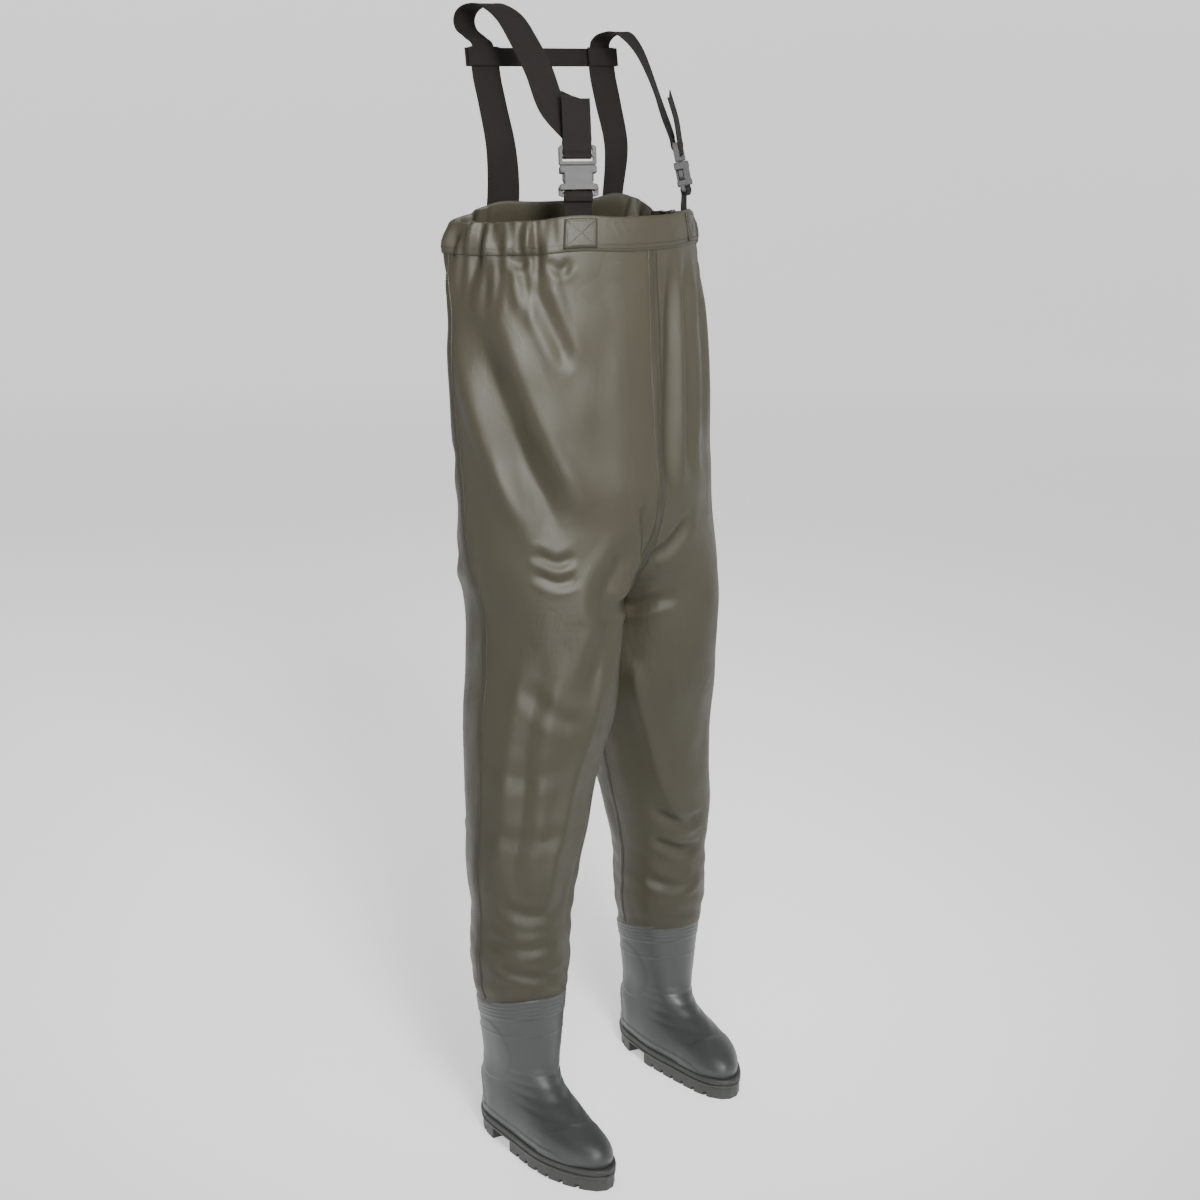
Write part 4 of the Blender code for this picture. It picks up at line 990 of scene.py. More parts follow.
class Runner:
    """Repeats a small bead along lines with Geometry Nodes: stitches, grip ribs and welt nubs."""

    def __init__(self) -> None:
        """Builds the tree once."""
        tree = bpy.data.node_groups.new("beads_along_lines", "GeometryNodeTree")
        tree.interface.new_socket("Lines", in_out="INPUT", socket_type="NodeSocketGeometry")
        for name in ("Pitch", "Length", "Width", "Height"):
            tree.interface.new_socket(name, in_out="INPUT", socket_type="NodeSocketFloat")
        tree.interface.new_socket("Finish", in_out="INPUT", socket_type="NodeSocketMaterial")
        tree.interface.new_socket("Beads", in_out="OUTPUT", socket_type="NodeSocketGeometry")
        self.tree = tree
        start = tree.nodes.new("NodeGroupInput")
        end = tree.nodes.new("NodeGroupOutput")
        curve = self._node("GeometryNodeMeshToCurve", Mesh=start.outputs["Lines"])
        spaced = self._node("GeometryNodeCurveToPoints", Curve=curve.outputs[0])
        spaced.mode = "LENGTH"
        tree.links.new(start.outputs["Pitch"], spaced.inputs["Length"])
        bead = self._node("GeometryNodeMeshUVSphere")
        bead.inputs["Segments"].default_value = 6
        bead.inputs["Rings"].default_value = 4
        bead.inputs["Radius"].default_value = 0.5
        turned = self._node("FunctionNodeAlignRotationToVector", Vector=spaced.outputs["Tangent"])
        turned.axis = "Z"
        sizes = self._node(
            "ShaderNodeCombineXYZ",
            X=start.outputs["Width"],
            Y=start.outputs["Height"],
            Z=start.outputs["Length"],
        )
        set_out = self._node(
            "GeometryNodeInstanceOnPoints",
            Points=spaced.outputs["Points"],
            Instance=bead.outputs[0],
            Rotation=turned.outputs[0],
            Scale=sizes.outputs[0],
        )
        real = self._node("GeometryNodeRealizeInstances", Geometry=set_out.outputs[0])
        dressed = self._node(
            "GeometryNodeSetMaterial", Geometry=real.outputs[0], Material=start.outputs["Finish"]
        )
        tree.links.new(dressed.outputs[0], end.inputs[0])

    def _node(self, kind: str, **inputs: bpy.types.NodeSocket) -> bpy.types.Node:
        """Adds a node and links its inputs."""
        made = self.tree.nodes.new(kind)
        for name, socket in inputs.items():
            self.tree.links.new(socket, made.inputs[name])
        return made

    def run(
        self,
        name: str,
        lines: Sequence[Array],
        finish: bpy.types.Material,
        pitch: float,
        bead: Sequence[float],
    ) -> bpy.types.Object:
        """Lays beads along lines.

        Args:
            name: the piece's name.
            lines: polylines in the tailor's frame.
            finish: the beads' material.
            pitch: distance from one bead to the next.
            bead: a bead's length, width and height.

        Returns:
            A plain mesh of all the beads.
        """
        mesh = bpy.data.meshes.new(name)
        points = np.concatenate(lines) + SHIFT
        edges, first = [], 0
        for line in lines:
            edges += [(first + i, first + i + 1) for i in range(len(line) - 1)]
            first += len(line)
        mesh.from_pydata(points.tolist(), edges, [])
        guide = bpy.data.objects.new(name + "_guide", mesh)
        bpy.context.scene.collection.objects.link(guide)
        modifier = guide.modifiers.new("beads", "NODES")
        modifier.node_group = self.tree
        values = {"Pitch": pitch, "Length": bead[0], "Width": bead[1], "Height": bead[2], "Finish": finish}
        for item in self.tree.interface.items_tree:
            if item.in_out == "INPUT" and item.name in values:
                modifier[item.identifier] = values[item.name]
        graph = bpy.context.evaluated_depsgraph_get()
        made = bpy.data.meshes.new_from_object(guide.evaluated_get(graph))
        made.name = name
        made.materials.clear()
        made.materials.append(finish)
        made.polygons.foreach_set("use_smooth", np.ones(len(made.polygons), bool))
        made.polygons.foreach_set("material_index", np.zeros(len(made.polygons), np.int32))
        bpy.data.objects.remove(guide)
        piece = bpy.data.objects.new(name, made)
        bpy.context.scene.collection.objects.link(piece)
        return piece


def settle(piece: bpy.types.Object, body: str = GARMENT, nodes: Sequence[str] = ()) -> None:
    """Puts a finished piece on its body and lets it stand for its frame nodes."""
    if nodes:
        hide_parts(*nodes)
    if body:
        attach(piece, body)
    log.info("%s: %d faces", piece.name, len(piece.data.polygons))


# --- the garment ------------------------------------------------------------------------------


@dataclass
class Garment:
    """The cloth body: four panels, the gathered hem, welded tapes, patches and their stitching."""

    form: Form
    columns: int = 84
    rows: int = 360
    cloth: float = 0.0012
    tape_thick: float = 0.0009
    centre_tape: float = 0.013
    side_tape: float = 0.010
    inner_tape: float = 0.008
    patch: tuple = (0.038, 0.034)
    stitch: tuple = (0.0032, 0.0011, 0.0007)
    pitch: float = 0.0042
    cuff_zone: float = 0.048  # height of the closely spaced rows above the cuff
    cuff_rows: int = 48
    ease: float = 1.03  # how much wider a panel is cut than it measures
    turnings: float = 0.03  # how much taller
    gather: float = 1.08  # how much longer the casing is than the rim
    elastic_height: float = 0.025
    lines: list = field(default_factory=list)

    def build(self, finishes: Finishes, runner: Runner) -> None:
        """Makes every cloth piece."""
        for side in Side:
            for back in (False, True):
                self._panel(side, back, finishes)
        self._casing(finishes)
        for side in Side:
            self._elastic(side, finishes)
        self._tapes(finishes)
        self._patches(finishes)
        self._hem_stitches()
        thread = runner.run("thread_garment", self.lines, finishes.thread, self.pitch, self.stitch)
        settle(thread)

    def _panel(self, side: Side, back: bool, finishes: Finishes) -> None:
        """One of the four cloth panels."""
        cut = self.form.cut
        shares = np.linspace(0.0, 1.0, self.columns)[None, :]
        above = cut.cuff_z + self.cuff_zone
        cuff = np.linspace(cut.cuff_z, above, self.cuff_rows + 1)[:-1]
        z = np.concatenate([cuff, np.linspace(above, cut.rim_z, self.rows - self.cuff_rows)])[:, None]
        z = z - 0.0016 * (z == cut.rim_z)
        outer = self.form.skin(side, back, shares, z)
        inner = outer - self.form.normal(side, back, shares, z) * self.cloth
        name = f"cloth_{'back' if back else 'front'}_{side.label}"
        piece = layered(name, outer, inner, finishes.cloth)
        settle(piece, nodes=[f"panel_{'back' if back else 'front'}_{side.label}"])
        girth = self.form.girth(side, back, z[:, 0])
        width, height = float(girth.max()) * self.ease, cut.rim_z - cut.cuff_z + self.turnings
        float(girth.mean()) * self.ease * height

    def _around(self, columns: int) -> list:
        """Places round the rim: half, back or front, share."""
        steps = np.linspace(0.0, 1.0, columns + 1)[:-1]
        order = [(Side.LEFT, False, 1 - steps), (Side.LEFT, True, steps)]
        return order + [(Side.RIGHT, True, 1 - steps), (Side.RIGHT, False, steps)]

    def _ring(self, z: float, offset: float, lift: float = 0.0, columns: int = 150) -> Array:
        """A ring round the body at a height, outside or inside the cloth."""
        parts = []
        for side, back, shares in self._around(columns):
            heights = np.full(len(shares), z)
            shares = np.clip(shares, 0.0, 1.0)
            points = self.form.skin(side, back, shares, heights)
            parts.append(points + self.form.normal(side, back, shares, heights) * offset)
        ring = np.concatenate(parts)
        ring[:, 2] += lift
        return ring

    def _casing(self, finishes: Finishes) -> None:
        """The doubled hem, folded over the rim and gathered by its elastic."""
        top, low = self.form.cut.rim_z, self.form.cut.rim_z - self.form.cut.hem_height
        steps = [(low, 0.0004), (low + 0.0006, 0.0018), (low + 0.003, 0.0022), (low + 0.009, 0.0030)]
        steps += [(low + 0.016, 0.0034), (low + 0.024, 0.0034), (low + 0.032, 0.0031)]
        steps += [(top - 0.004, 0.0027)]
        steps += [(top - 0.0016, 0.0021), (top - 0.0006, 0.0010), (top - 0.0004, -0.0008)]
        steps += [(top - 0.0008, -0.0022)]
        steps += [(top - 0.003, -0.0030), (low + 0.028, -0.0034), (low + 0.014, -0.0034)]
        steps += [(low + 0.004, -0.0028)]
        steps += [(low + 0.0006, -0.0026), (low, -0.0012)]
        rings = np.stack([self._ring(z, offset) for z, offset in steps])
        piece = lofted("hem_casing_gathered", rings, finishes.cloth, looped=True)
        settle(piece, nodes=["hem_casing"])
        around = float(np.linalg.norm(np.diff(self._ring(low, 0.0), axis=0), axis=1).sum())
        around * self.gather

    def _elastic(self, side: Side, finishes: Finishes) -> None:
        """The elastic inside the hem at one side."""
        middle = self.form.cut.rim_z - self.form.cut.hem_height / 2
        front = self.form.share_at(side, False, 0.122, middle)
        rear = self.form.share_at(side, True, 0.128, middle)
        z = middle + np.linspace(-self.elastic_height / 2, self.elastic_height / 2, 6)[:, None]
        grids = []
        for offset in (0.0014, 0.0006):
            halves = []
            for back, shares in ((False, np.linspace(front, 0.02, 50)), (True, np.linspace(0.02, rear, 50))):
                at = self.form.skin(side, back, shares[None, :], z)
                halves.append(at + self.form.normal(side, back, shares[None, :], z) * offset)
            grids.append(np.concatenate(halves, axis=1))
        piece = layered(f"elastic_hem_{side.label}", grids[0], grids[1], finishes.elastic)
        settle(piece, nodes=[f"hem_elastic_{side.label}"])

    def _across_seam(self, a: tuple, b: tuple, z: Array, reach: float, offset: float) -> Array:
        """A line beside a seam where two half rings meet.

        Args:
            a: the first half ring: half, back or front, share at the seam.
            b: the second one.
            z: heights.
            reach: distance from the seam, negative on the first half ring.
            offset: distance outside the cloth.

        Returns:
            A point for each height.
        """
        found = []
        for side, back, share in (a, b):
            away = abs(reach) / self.form.girth(side, back, z)
            shares = share - away if share > 0.5 else share + away
            points = self.form.skin(side, back, shares, z)
            found.append(points + self.form.normal(side, back, shares, z) * offset)
        if abs(reach) < 1e-9:
            return (found[0] + found[1]) / 2
        return found[0] if reach < 0 else found[1]

    def _tape(
        self,
        name: str,
        a: tuple,
        b: tuple,
        width: float,
        z: Array,
        rows: Sequence[float],
        finishes: Finishes,
    ) -> bpy.types.Object:
        """A tape along a seam and its rows of stitches."""
        places = np.array([-0.5, -0.44, -0.2, 0.0, 0.2, 0.44, 0.5]) * width
        crown = np.array([0.3, 0.9, 1.0, 1.0, 1.0, 0.9, 0.3]) * self.tape_thick
        outer = np.stack([self._across_seam(a, b, z, p, c) for p, c in zip(places, crown)], axis=1)
        inner = np.stack([self._across_seam(a, b, z, p, -0.0006) for p in places], axis=1)
        piece = layered(name, outer, inner, finishes.tape)
        for reach in rows:
            self.lines.append(self._across_seam(a, b, z, reach, self.tape_thick + 0.0001))
        return piece

    def _tapes(self, finishes: Finishes) -> None:
        """Tapes over the front, back, side and inside-leg seams."""
        cut = self.form.cut
        top = cut.rim_z - cut.hem_height + 0.001
        body = np.linspace(cut.crotch_z + 0.001, top, 190)
        for name, back in (("front", False), ("back", True)):
            a, b = (Side.RIGHT, back, 1.0), (Side.LEFT, back, 1.0)
            piece = self._tape(f"tape_{name}", a, b, self.centre_tape, body, (-0.0048, 0.0, 0.0048), finishes)
            settle(piece, nodes=[f"seam_{name}"])
        for side in Side:
            low = BOOT.top + 0.003
            a, b = (side, False, 0.0), (side, True, 0.0)
            rows = (-0.0030, 0.0030)
            outer_leg = np.linspace(low, top, 340)
            piece = self._tape(f"tape_side_{side.label}", a, b, self.side_tape, outer_leg, rows, finishes)
            settle(piece, nodes=[f"seam_side_{side.label}"])
            a, b = (side, False, 1.0), (side, True, 1.0)
            inner_leg = np.linspace(low, cut.crotch_z - 0.004, 180)
            piece = self._tape(f"tape_inner_{side.label}", a, b, self.inner_tape, inner_leg, (0.0,), finishes)
            settle(piece, nodes=[f"seam_inner_{side.label}"])

    def _patches(self, finishes: Finishes) -> None:
        """Squares of tape cloth over the hem where the straps are sewn, stitched with a box and a cross."""
        cut = self.form.cut
        middle = cut.rim_z - cut.hem_height / 2
        width, height = self.patch
        for side in Side:
            for back, anchor in ((False, cut.front_anchor_x), (True, cut.back_anchor_x)):
                u = np.linspace(-0.5, 0.5, 13)
                z = (middle + np.linspace(-0.5, 0.5, 11) * height)[:, None]
                found = [self.form.share_at(side, back, anchor + k * width, middle) for k in u]
                shares = np.array(found)[None, :]
                outward = self.form.normal(side, back, shares, z)
                base = self.form.skin(side, back, shares, z)
                piece = layered(
                    f"patch_{'back' if back else 'front'}_{side.label}_sewn",
                    base + outward * 0.0046,
                    base + outward * 0.0030,
                    finishes.tape,
                )
                settle(piece, nodes=[f"patch_{'back' if back else 'front'}_{side.label}"])
                self._box_and_cross(side, back, anchor, middle, 0.0048)

    def _box_and_cross(self, side: Side, back: bool, anchor: float, middle: float, offset: float) -> None:
        """Stitch lines of a square with a cross in it."""
        w, h = self.patch[0] * 0.40, self.patch[1] * 0.40
        corners = [(-w, -h), (w, -h), (w, h), (-w, h), (-w, -h), (w, h)]
        for line in (corners, [(-w, h), (w, -h)]):
            spans = [np.linspace(a, b, 9)[:-1] for a, b in zip(line, line[1:])]
            places = np.concatenate(spans + [[line[-1]]])
            shares = np.array([self.form.share_at(side, back, anchor + u, middle) for u, _ in places])
            z = middle + places[:, 1]
            at = self.form.skin(side, back, shares, z)
            self.lines.append(at + self.form.normal(side, back, shares, z) * offset)

    def _hem_stitches(self) -> None:
        """Two rows of stitches round the lower edge of the hem."""
        low = self.form.cut.rim_z - self.form.cut.hem_height
        for lift, offset in ((0.0035, 0.0024), (0.0085, 0.0031)):
            ring = self._ring(low + lift, offset)
            self.lines.append(np.concatenate([ring, ring[:1]]))


# --- straps and buckles -----------------------------------------------------------------------


@dataclass
class Harness:
    """Back straps, crossbar, shoulder straps, anchor loops and the side-release buckles."""

    form: Form
    front_web: float = 0.038
    back_web: float = 0.050
    bar_web: float = 0.025
    web: float = 0.0015
    play: float = 0.0003
    sewn: float = 0.036
    drift: float = 0.010
    back_route: tuple = ((0.041, 0.093), (0.054, 0.153), (0.062, 0.192), (0.067, 0.230))
    over_right: tuple = (
        (0.086, 0.242), (0.104, 0.252), (0.109, 0.265), (0.100, 0.278), (0.078, 0.285),
        (0.050, 0.283), (0.018, 0.266), (-0.009, 0.235), (-0.036, 0.198), (-0.062, 0.152),
    )
    over_left: tuple = (
        (0.062, 0.243), (0.044, 0.249), (0.022, 0.250), (0.002, 0.240),
        (-0.018, 0.220), (-0.039, 0.187), (-0.061, 0.148),
    )
    turn: float = math.radians(35.0)
    lean: float = math.radians(-12.0)
    buckle_lift: float = 0.024
    buckle_out: float = -0.002
    clip_base: float = 0.0408
    clip_top: float = 0.0673
    lines: list = field(default_factory=list)

    @property
    def layer(self) -> float:
        """Thickness of one webbing with its play."""
        return self.web + 2 * self.play

    def build(self, finishes: Finishes, runner: Runner) -> None:
        """Makes every strap and dresses the buckles."""
        for side in Side:
            self._back_strap(side, finishes)
            self._shoulder_strap(side, finishes)
            self._anchor(side, finishes)
        self._crossbar(finishes)
        thread = runner.run("thread_harness", self.lines, finishes.elastic, 0.0036, (0.0026, 0.0007, 0.0005))
        settle(thread)
        self._grips(finishes, runner)
        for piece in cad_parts.values():
            if piece.name.startswith("buckle_"):
                for k in range(len(piece.material_slots)):
                    piece.material_slots[k].material = finishes.buckle

    def _place(self, side: Side) -> Matrix:
        """Where a buckle sits above the rim."""
        cut = self.form.cut
        z = cut.rim_z - 0.0006
        share = self.form.share_at(side, False, cut.front_anchor_x, z)
        foot = Vector(self.form.base(side, False, np.array([share]), np.array([z]))[0])
        turn = Matrix.Rotation(side.value * self.turn, 4, "Z")
        place = foot + turn @ Vector((0, -1, 0)) * self.buckle_out + Vector((0, 0, self.buckle_lift))
        return Matrix.Translation(place) @ turn @ Matrix.Rotation(self.lean, 4, "X")

    def _sewn_part(
        self, side: Side, back: bool, anchors: Sequence[float], heights: Sequence[float], offset: float
    ) -> tuple[list, list]:
        """Points and directions where webbing lies on the cloth."""
        points, across = [], []
        for anchor, z in zip(anchors, heights):
            share = self.form.share_at(side, back, anchor, z)
            at, high = np.array([share]), np.array([z])
            point = self.form.base(side, back, at, high)[0]
            points.append(point + self.form.normal(side, back, at, high)[0] * offset)
            ahead = self.form.base(side, back, np.array([max(share - 0.02, 0.0)]), high)[0]
            behind = self.form.base(side, back, np.array([min(share + 0.02, 1.0)]), high)[0]
            across.append(unit(ahead - behind) * side.value)
        return points, across

    def _route(self, places: Sequence[tuple[float, float]], x: Sequence[float]) -> list:
        """Points from how far back and how high above the rim they are."""
        return [np.array([a, y, self.form.cut.rim_z + h]) for a, (y, h) in zip(x, places)]

    def _back_strap(self, side: Side, finishes: Finishes) -> None:
        """Wide elastic webbing from the back of the bib up to the crossbar."""
        cut = self.form.cut
        low = cut.rim_z - cut.hem_height / 2 - self.sewn / 2
        anchor = cut.back_anchor_x + side.value * self.drift
        outside = 0.0008 + 0.0012 + 0.0008 + 6 * 0.0012
        points, across = self._sewn_part(side, True, (anchor, anchor), (low, cut.rim_z - 0.0006), outside)
        x = [side.value * cut.back_anchor_x + self.drift * max(1 - (k + 1) / 3, 0.0) for k in range(4)]
        points += self._route(self.back_route, x)
        level = np.array([1.0, 0.0, 0.0])
        across += [unit(across[-1] * 0.4 + level * 0.6)] + [level] * 3
        line, sides = catmull(points, 14), unit(catmull(across, 14))
        band = Band(self.back_web, self.web)
        piece = band.build(f"webbing_back_{side.label}", line, sides, finishes.elastic)
        settle(piece, nodes=[f"back_strap_{side.label}"])

    def _shoulder_strap(self, side: Side, finishes: Finishes) -> None:
        """Webbing over the shoulder, round the clip's bar and up as a loose tail."""
        cut, sign = self.form.cut, side.value
        place, turn = self._place(side), Matrix.Rotation(sign * self.turn, 3, "Z")
        behind = 0.0070 / 2 + 2 * self.play + self.web / 2
        at_bar = 0.0036 / 2 + self.play + self.web / 2
        bar_low, bar_high, rail = self.clip_base + 0.0108, self.clip_base + 0.0150, 0.0050
        under = bar_low - self.play - self.web / 2
        top = self.clip_top
        profile = [
            (behind + 0.0016, top + 0.016), (behind, top + 0.004), (behind, top - rail - 0.001),
            (at_bar, bar_high), (at_bar, bar_low), (at_bar * 0.6, under - 0.0004),
            (-at_bar * 0.6, under - 0.0004),
            (-at_bar, bar_low), (-at_bar, bar_high), (-behind, top - rail - 0.001), (-behind, top + 0.004),
            (-behind - 0.001, top + 0.031), (-behind + 0.002, top + 0.062),
        ]
        low = [np.array(place @ Vector((0, y, z))) for y, z in profile]
        sewn = self._route(self.back_route[-2:], [sign * cut.back_anchor_x] * 2)
        along = unit(sewn[1] - sewn[0])
        out = np.cross([1.0, 0.0, 0.0], along) * -self.layer
        over = self.over_right if side is Side.RIGHT else self.over_left
        share = np.linspace(0.0, 1.0, len(over))
        x = sign * (cut.back_anchor_x + (cut.front_anchor_x - cut.back_anchor_x) * share)
        points = [sewn[0] + out, sewn[1] + out] + self._route(over, x) + low
        line = catmull(points, 12)
        count = (len(over) + 2) * 12
        t = smooth(count * 0.30, count * 0.85, np.arange(len(line)))[:, None]
        sides = unit(np.array([1.0, 0.0, 0.0]) * (1 - t) + np.array(turn @ Vector((1, 0, 0))) * t)
        sway = 0.0020 * np.sin(np.linspace(0.0, 9.0, count)) * np.sin(np.linspace(0.0, math.pi, count))
        line[:count, 0] += sway
        piece = Band(self.front_web, self.web).build(
            f"webbing_shoulder_{side.label}", line, sides, finishes.strap, cut=0.009 * sign
        )
        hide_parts(f"shoulder_strap_{side.label}")
        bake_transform(piece)
        log.info("%s: %d faces", piece.name, len(piece.data.polygons))

    def _anchor(self, side: Side, finishes: Finishes) -> None:
        """Webbing sewn inside the bib and looped through the buckle's slot."""
        cut, place = self.form.cut, self._place(side)
        low = cut.rim_z - cut.hem_height / 2 - self.sewn / 2
        inside = -(0.0012 + 2 * 0.0012 + self.web / 2) - 0.0008
        heights = (low, cut.rim_z - cut.hem_height / 3, cut.rim_z)
        points, across = self._sewn_part(side, False, [cut.front_anchor_x] * 3, heights, inside)
        beside = 0.0050 / 2 + 2 * self.play + self.web / 2
        slot_low, slot = 0.0032, 0.0059
        loop = [
            (beside, -0.004), (beside, slot_low), (beside * 0.55, slot + 0.0004),
            (-beside * 0.55, slot + 0.0004),
            (-beside, slot_low), (-beside, 0.0), (-beside * 0.3, -0.006),
        ]
        points += [np.array(place @ Vector((0, y, z))) for y, z in loop]
        level = np.array(Matrix.Rotation(side.value * self.turn, 3, "Z") @ Vector((1, 0, 0)))
        across += [level] * len(loop)
        piece = Band(self.front_web, self.web).build(
            f"webbing_anchor_{side.label}", catmull(points, 10), unit(catmull(across, 10)), finishes.strap
        )
        settle(piece, nodes=[f"anchor_webbing_{side.label}"])
        for across_at in (-0.014, 0.014):
            line = [np.array(place @ Vector((across_at, -beside - 0.0009, z))) for z in (-0.003, 0.001)]
            self.lines.append(np.array(line))

    def _crossbar(self, finishes: Finishes) -> None:
        """Webbing across the back, its ends folded round the tops of the back straps."""
        (y0, z0), (y1, z1) = self.back_route[-2:]
        lean = math.atan2(y1 - y0, z1 - z0)
        along = np.array([0.0, math.sin(lean), math.cos(lean)])
        out = np.array([0.0, math.cos(lean), -math.sin(lean)])
        centre = np.array([0.0, y1, self.form.cut.rim_z + z1]) - along * (self.bar_web / 2 + 0.001)
        outer, inner = 2 * self.layer, -self.layer
        edge = self.form.cut.back_anchor_x + self.back_web / 2 + 0.0022
        inward = edge - 0.028 - self.back_web / 2
        half = [
            (0.0, outer), (edge * 0.5, outer), (edge - 0.002, outer), (edge, outer - 0.001),
            (edge + 0.0004, (outer + inner) / 2), (edge, inner + 0.001), (edge - 0.002, inner),
            (inward, inner),
        ]
        path = [(-x, d) for x, d in half[:0:-1]] + half
        points = np.array([centre + np.array([x, 0.0, 0.0]) + out * d for x, d in path])
        line = catmull(points, 8)
        piece = Band(self.bar_web, self.web).build(
            "webbing_crossbar", line, np.tile(along, (len(line), 1)), finishes.strap
        )
        settle(piece, nodes=["crossbar"])
        w, h = self.back_web * 0.40, self.bar_web * 0.36
        for side in Side:
            middle = centre + np.array([side.value * self.form.cut.back_anchor_x, 0.0, 0.0])
            middle = middle + out * (outer + 0.0009)
            for line in ([(-w, -h), (w, -h), (w, h), (-w, h), (-w, -h), (w, h)], [(-w, h), (w, -h)]):
                self.lines.append(np.array([middle + np.array([u, 0.0, 0.0]) + along * v for u, v in line]))

    def _grips(self, finishes: Finishes, runner: Runner) -> None:
        """Raised grip ribs on the faces of the sockets and clips."""
        for side in Side:
            place = self._place(side)
            for body, half, front, heights in (
                (GARMENT, 0.012, -0.00675, (0.0335, 0.0360, 0.0385)),
                (f"clip_{side.label}", 0.017, -0.0035, (self.clip_base + 0.0022, self.clip_top - 0.0025)),
            ):
                lines = [
                    np.array([np.array(place @ Vector((x, front, z))) for x in (-half, half)])
                    for z in heights
                ]
                where = "socket" if body == GARMENT else "clip"
                bead = (half * 2.0, 0.0011, 0.0011)
                centred = [np.array([(line[0] + line[1]) / 2, line[1]]) for line in lines]
                piece = runner.run(f"grip_{where}_{side.label}", centred, finishes.buckle, half * 4, bead)
                settle(piece, body)


# --- boots ------------------------------------------------------------------------------------


@dataclass
class Boots:
    """The moulded rubber boots: shells with their raised details, soles and dressed treads."""

    last: Last
    segments: int = 144
    rows: int = 150
    rib_height: float = 0.0011
    rib_pitch: float = 0.0052

    def build(self, finishes: Finishes, runner: Runner) -> None:
        """Makes both boots."""
        for side in Side:
            self._shell(side, finishes)
            self._sole(side, finishes, runner)
        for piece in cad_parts.values():
            if piece.name.startswith(("boot_tread", "boot_heel")):
                self._dress(piece, finishes.sole)
            if piece.name.startswith("boot_insole"):
                self._dress(piece, finishes.felt)

    @staticmethod
    def _dress(piece: bpy.types.Object, finish: bpy.types.Material) -> None:
        """Gives a frame node its finish."""
        for k in range(len(piece.material_slots)):
            piece.material_slots[k].material = finish

    def _relief(self, x: Array, y: Array, z: Array, angle: Array) -> Array:
        """How far the moulded details stand off the shell.

        Args:
            x: across the boot.
            y: back along the boot.
            z: height before the top's slant.
            angle: direction round the ring, 0 at the toe.

        Returns:
            Heights, outwards positive.
        """
        rand = 0.0016 * (1 - smooth(0.0405, 0.0425, z + 0.020 * smooth(-0.15, -0.22, y)))
        cap_line = -0.158 + 0.7 * (x**2) / 0.05
        cap = 0.0013 * (1 - smooth(0.0, 0.0022, y - cap_line)) * (1 - smooth(0.075, 0.080, z))
        counter = 0.0013 * smooth(0.018, 0.022, y - 0.35 * (z - 0.03)) * (1 - smooth(0.088, 0.091, z))
        shield = ((y - 0.006) / 0.044) ** 2 + ((z - 0.134) / 0.046) ** 2
        ankle = 0.0010 * (1 - smooth(0.93, 1.0, shield))
        vamp = smooth(0.2, 0.6, np.cos(angle)) * smooth(0.066, 0.074, z) * (1 - smooth(0.108, 0.124, z))
        crease = -0.0008 * np.abs(np.sin(math.pi * (z - 0.066) / 0.0125)) ** 3 * vamp
        shaft = smooth(0.128, 0.150, z)
        spine = 0.0009 * np.exp(-((x / 0.0035) ** 2)) * smooth(0.02, 0.03, y) * smooth(0.095, 0.105, z)
        band_low = self.last.top - self.last.band_height
        in_band = smooth(band_low - 0.001, band_low + 0.001, z)
        ribs = self.rib_height * np.abs(np.sin(math.pi * (z - band_low) / self.rib_pitch)) ** 0.7
        line = 0.0007 * np.exp(-(((z - 0.162) / 0.0012) ** 2))
        return rand + cap + counter + ankle + crease + spine * shaft + in_band * ribs + line

    def _rings(self, side: Side, z: Array, inset: float, relief: bool) -> Array:
        """Rings of the shell at several heights."""
        angle = np.linspace(0.0, 2 * math.pi, self.segments + 1)[:-1][None, :]
        columns = [read_rows(self.last.rows, z, c)[:, None] for c in range(1, 5)]
        toe, heel, half, widen = columns
        flat = self.last.ring(side, angle, toe - inset, heel - inset, half - inset, widen)
        high = np.broadcast_to(z[:, None], flat.shape[:2])
        local = np.concatenate([flat, high[..., None]], axis=-1)
        if relief:
            around = np.roll(local, -1, axis=1) - np.roll(local, 1, axis=1)
            up = np.gradient(local, axis=0)
            outward = unit(np.cross(around, up))
            outward *= np.sign((outward[..., :2] * local[..., :2]).sum(-1) + 1e-9)[..., None]
            outward[0, :, 2] = 0.0
            wobble = wander(local, (0.05, 0.05, 0.06), 5.0 + side.value) * 0.0008
            lift = self._relief(flat[..., 0], flat[..., 1], high, np.broadcast_to(angle, high.shape)) + wobble
            local = local + outward * lift[..., None]
        share = np.clip((high - self.last.slant_from) / (self.last.top - self.last.slant_from), 0.0, 1.0)
        local[..., 2] -= self.last.slant * share * flat[..., 1]
        return local

    def _shell(self, side: Side, finishes: Finishes) -> None:
        """The upper: outer skin, rolled top edge and inner wall, closed underneath."""
        last = self.last
        rise = np.linspace(last.rows[0][0], last.top - 0.0006, self.rows)
        outer = self._rings(side, rise, 0.0, True)
        lip = self._rings(side, np.array([last.top, last.top]), 0.0008, False)
        lip[1] = self._rings(side, np.array([last.top, last.top]), last.wall - 0.0006, False)[1]
        down = np.linspace(last.top - 0.001, last.rows[0][0] + 0.001, 60)
        inner = self._rings(side, down, last.wall, False)
        rings = np.concatenate([outer, lip, inner])
        centre_low = rings[:1].mean(axis=1, keepdims=True)
        centre_in = rings[-1:].mean(axis=1, keepdims=True)
        low = centre_low + (rings[:1] - centre_low) * 0.02
        high = centre_in + (rings[-1:] - centre_in) * 0.02
        rings = np.concatenate([low, rings, high])
        piece = lofted(f"boot_shell_{side.label}", last.in_world(side, rings), finishes.boot)
        settle(piece, nodes=[f"boot_upper_{side.label}", f"boot_band_{side.label}"])

